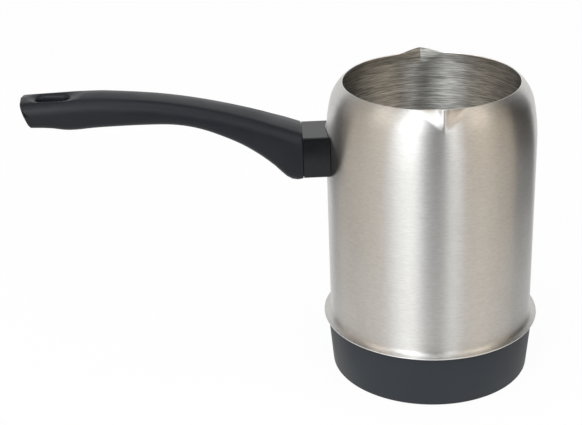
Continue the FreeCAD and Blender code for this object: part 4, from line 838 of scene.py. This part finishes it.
FLOOR_SIZE = 8.0
FLOOR_WHITE_SHARE = 0.95
floor = add_primitive(bpy.ops.mesh.primitive_plane_add, size=FLOOR_SIZE, location=(0, 0, 0))
floor.name = "studio_floor"
floor_white, tree, shader = new_material("floor_white", Roughness=0.9, Base_Color=(0.92, 0.92, 0.92, 1))
glow = set_inputs(add_node(tree, "ShaderNodeEmission"), Color=(1, 1, 1, 1), Strength=1.0)
white_share = add_node(tree, "ShaderNodeMath", operation="MULTIPLY")
white_share.inputs[1].default_value = FLOOR_WHITE_SHARE
tree.links.new(seen_directly(tree), white_share.inputs[0])
blend = add_node(tree, "ShaderNodeMixShader")
tree.links.new(white_share.outputs[0], blend.inputs["Fac"])
tree.links.new(shader.outputs["BSDF"], blend.inputs[1])
tree.links.new(glow.outputs["Emission"], blend.inputs[2])
from_below = add_node(tree, "ShaderNodeMixShader")
tree.links.new(add_node(tree, "ShaderNodeNewGeometry").outputs["Backfacing"], from_below.inputs["Fac"])
tree.links.new(blend.outputs["Shader"], from_below.inputs[1])
tree.links.new(add_node(tree, "ShaderNodeBsdfTransparent").outputs["BSDF"], from_below.inputs[2])
tree.links.new(from_below.outputs["Shader"], tree.nodes["Material Output"].inputs["Surface"])
floor.data.materials.append(floor_white)

ROOM_LIGHT = 0.5
world = bpy.data.worlds.new("studio")
bpy.context.scene.world = world
world.use_nodes = True
tree = world.node_tree
white_room = set_inputs(tree.nodes["Background"], Color=(1, 1, 1, 1), Strength=1.0)
dim_room = set_inputs(add_node(tree, "ShaderNodeBackground"), Color=(0.95, 0.97, 1.0, 1),
                      Strength=ROOM_LIGHT)
blend = add_node(tree, "ShaderNodeMixShader")
tree.links.new(seen_directly(tree), blend.inputs["Fac"])
tree.links.new(dim_room.outputs[0], blend.inputs[1])
tree.links.new(white_room.outputs[0], blend.inputs[2])
tree.links.new(blend.outputs[0], tree.nodes["World Output"].inputs["Surface"])

# %% [markdown]
# Polished metal is only as interesting as what stands round it. A photographer sets soft boxes where the
# metal should shine and cards where it should be darker or warmer, and leaves both outside the picture. The
# soft boxes are area lamps. The cards are sheets that only reflections see: most lie on the table and then
# stand up, and one hangs overhead. Each place is an angle to the right of the camera, and for a lamp also an
# angle up, as seen from the pot.

# %% Lamps
CAMERA_SIDE = math.degrees(math.atan2(CAMERA_PLACE.x, -CAMERA_PLACE.y))
POT_MIDDLE = Vector((0, 0, 0.075))


def around(side, height, distance):
    """A point at so many degrees right of the camera and up, and metres away, seen from the pot."""
    turn = math.radians(side + CAMERA_SIDE - 90)
    rise = math.radians(height)
    level_share = math.cos(rise)
    return Vector((math.cos(turn) * level_share, math.sin(turn) * level_share, math.sin(rise))) * distance


def soft_box(name, side, height, distance, width, tall, glow, colour=(1, 1, 1), lean=0):
    """Area lamp of a given brightness, where 1 looks white, turned to the pot and leaning by some degrees."""
    data = bpy.data.lights.new(name, "AREA")
    data.shape = "RECTANGLE"
    data.size = width
    data.size_y = tall
    data.energy = glow * math.pi * width * tall
    data.color = colour
    item = bpy.data.objects.new(name, data)
    bpy.context.scene.collection.objects.link(item)
    item.location = POT_MIDDLE + around(side, height, distance)
    item.rotation_mode = "QUATERNION"
    facing = (POT_MIDDLE - item.location).to_track_quat("-Z", "Y")
    item.rotation_quaternion = facing @ Quaternion((0, 0, 1), math.radians(lean))
    item.visible_camera = False


soft_box("key_softbox", -22, 28, 1.4, 0.70, 1.3, 2.9, (0.95, 0.98, 1.0), -18)
soft_box("strip_softbox", 25, 30, 1.4, 0.22, 1.2, 2.0)
soft_box("warm_softbox", 62, 44, 1.5, 0.7, 0.8, 2.2, (1.0, 0.90, 0.78))
soft_box("warm_left_softbox", -66, 46, 1.5, 0.6, 0.7, 2.0, (1.0, 0.91, 0.80))
soft_box("inner_softbox", -20, 56, 1.4, 0.16, 0.7, 4.0, (0.86, 0.94, 1.0))
soft_box("top_softbox", -10, 82, 1.4, 0.8, 0.8, 1.6)

# %% Cards
CARD_FAR = 1.65
OVERHEAD_LEVEL = 2.3
CARD_LIFT = 0.001
CARD_STEPS = 12


def paint_card(sheet, name, colour):
    """Give a sheet a plain colour that only reflections see."""
    material = bpy.data.materials.new(name)
    material.use_nodes = True
    tree = material.node_tree
    tree.nodes.remove(tree.nodes["Principled BSDF"])
    paint = set_inputs(add_node(tree, "ShaderNodeEmission"), Color=(*colour, 1), Strength=1.0)
    tree.links.new(paint.outputs["Emission"], tree.nodes["Material Output"].inputs["Surface"])
    sheet.data.materials.append(material)
    sheet.name = name
    for ray in ("visible_camera", "visible_diffuse", "visible_shadow", "visible_transmission"):
        setattr(sheet, ray, False)


def card(name, first, last, near, top, colour):
    """A sheet between two angles that lies on the table, out of the picture, and then stands up."""
    rows = ((near, CARD_LIFT), (CARD_FAR, CARD_LIFT), (CARD_FAR, top))
    bands = len(rows) - 1
    sheet = add_primitive(bpy.ops.mesh.primitive_grid_add, x_subdivisions=CARD_STEPS, y_subdivisions=bands,
                          size=1)
    for vertex in sheet.data.vertices:
        angle = first + (last - first) * (vertex.co.x + 0.5)
        distance, level = rows[round((vertex.co.y + 0.5) * bands)]
        vertex.co = around(angle, 0, distance) + Vector((0, 0, level))
    paint_card(sheet, name, colour)


card("card_dark_left", -127, -112, 0.32, 1.9, (0.06, 0.06, 0.065))
card("card_warm_left", -112, -46, 0.22, 1.9, (0.73, 0.655, 0.57))
card("card_behind_camera", -9, 16, 0.29, 2.4, (0.03, 0.03, 0.035))
card("card_warm_right", 34, 96, 0.22, 1.9, (0.65, 0.565, 0.46))
card("card_dark_right", 94, 137, 0.27, 1.9, (0.05, 0.045, 0.04))
overhead = add_primitive(bpy.ops.mesh.primitive_grid_add, x_subdivisions=2, y_subdivisions=2,
                         size=CARD_FAR * 2, location=(0, 0, OVERHEAD_LEVEL))
paint_card(overhead, "card_overhead", (0.22, 0.22, 0.23))
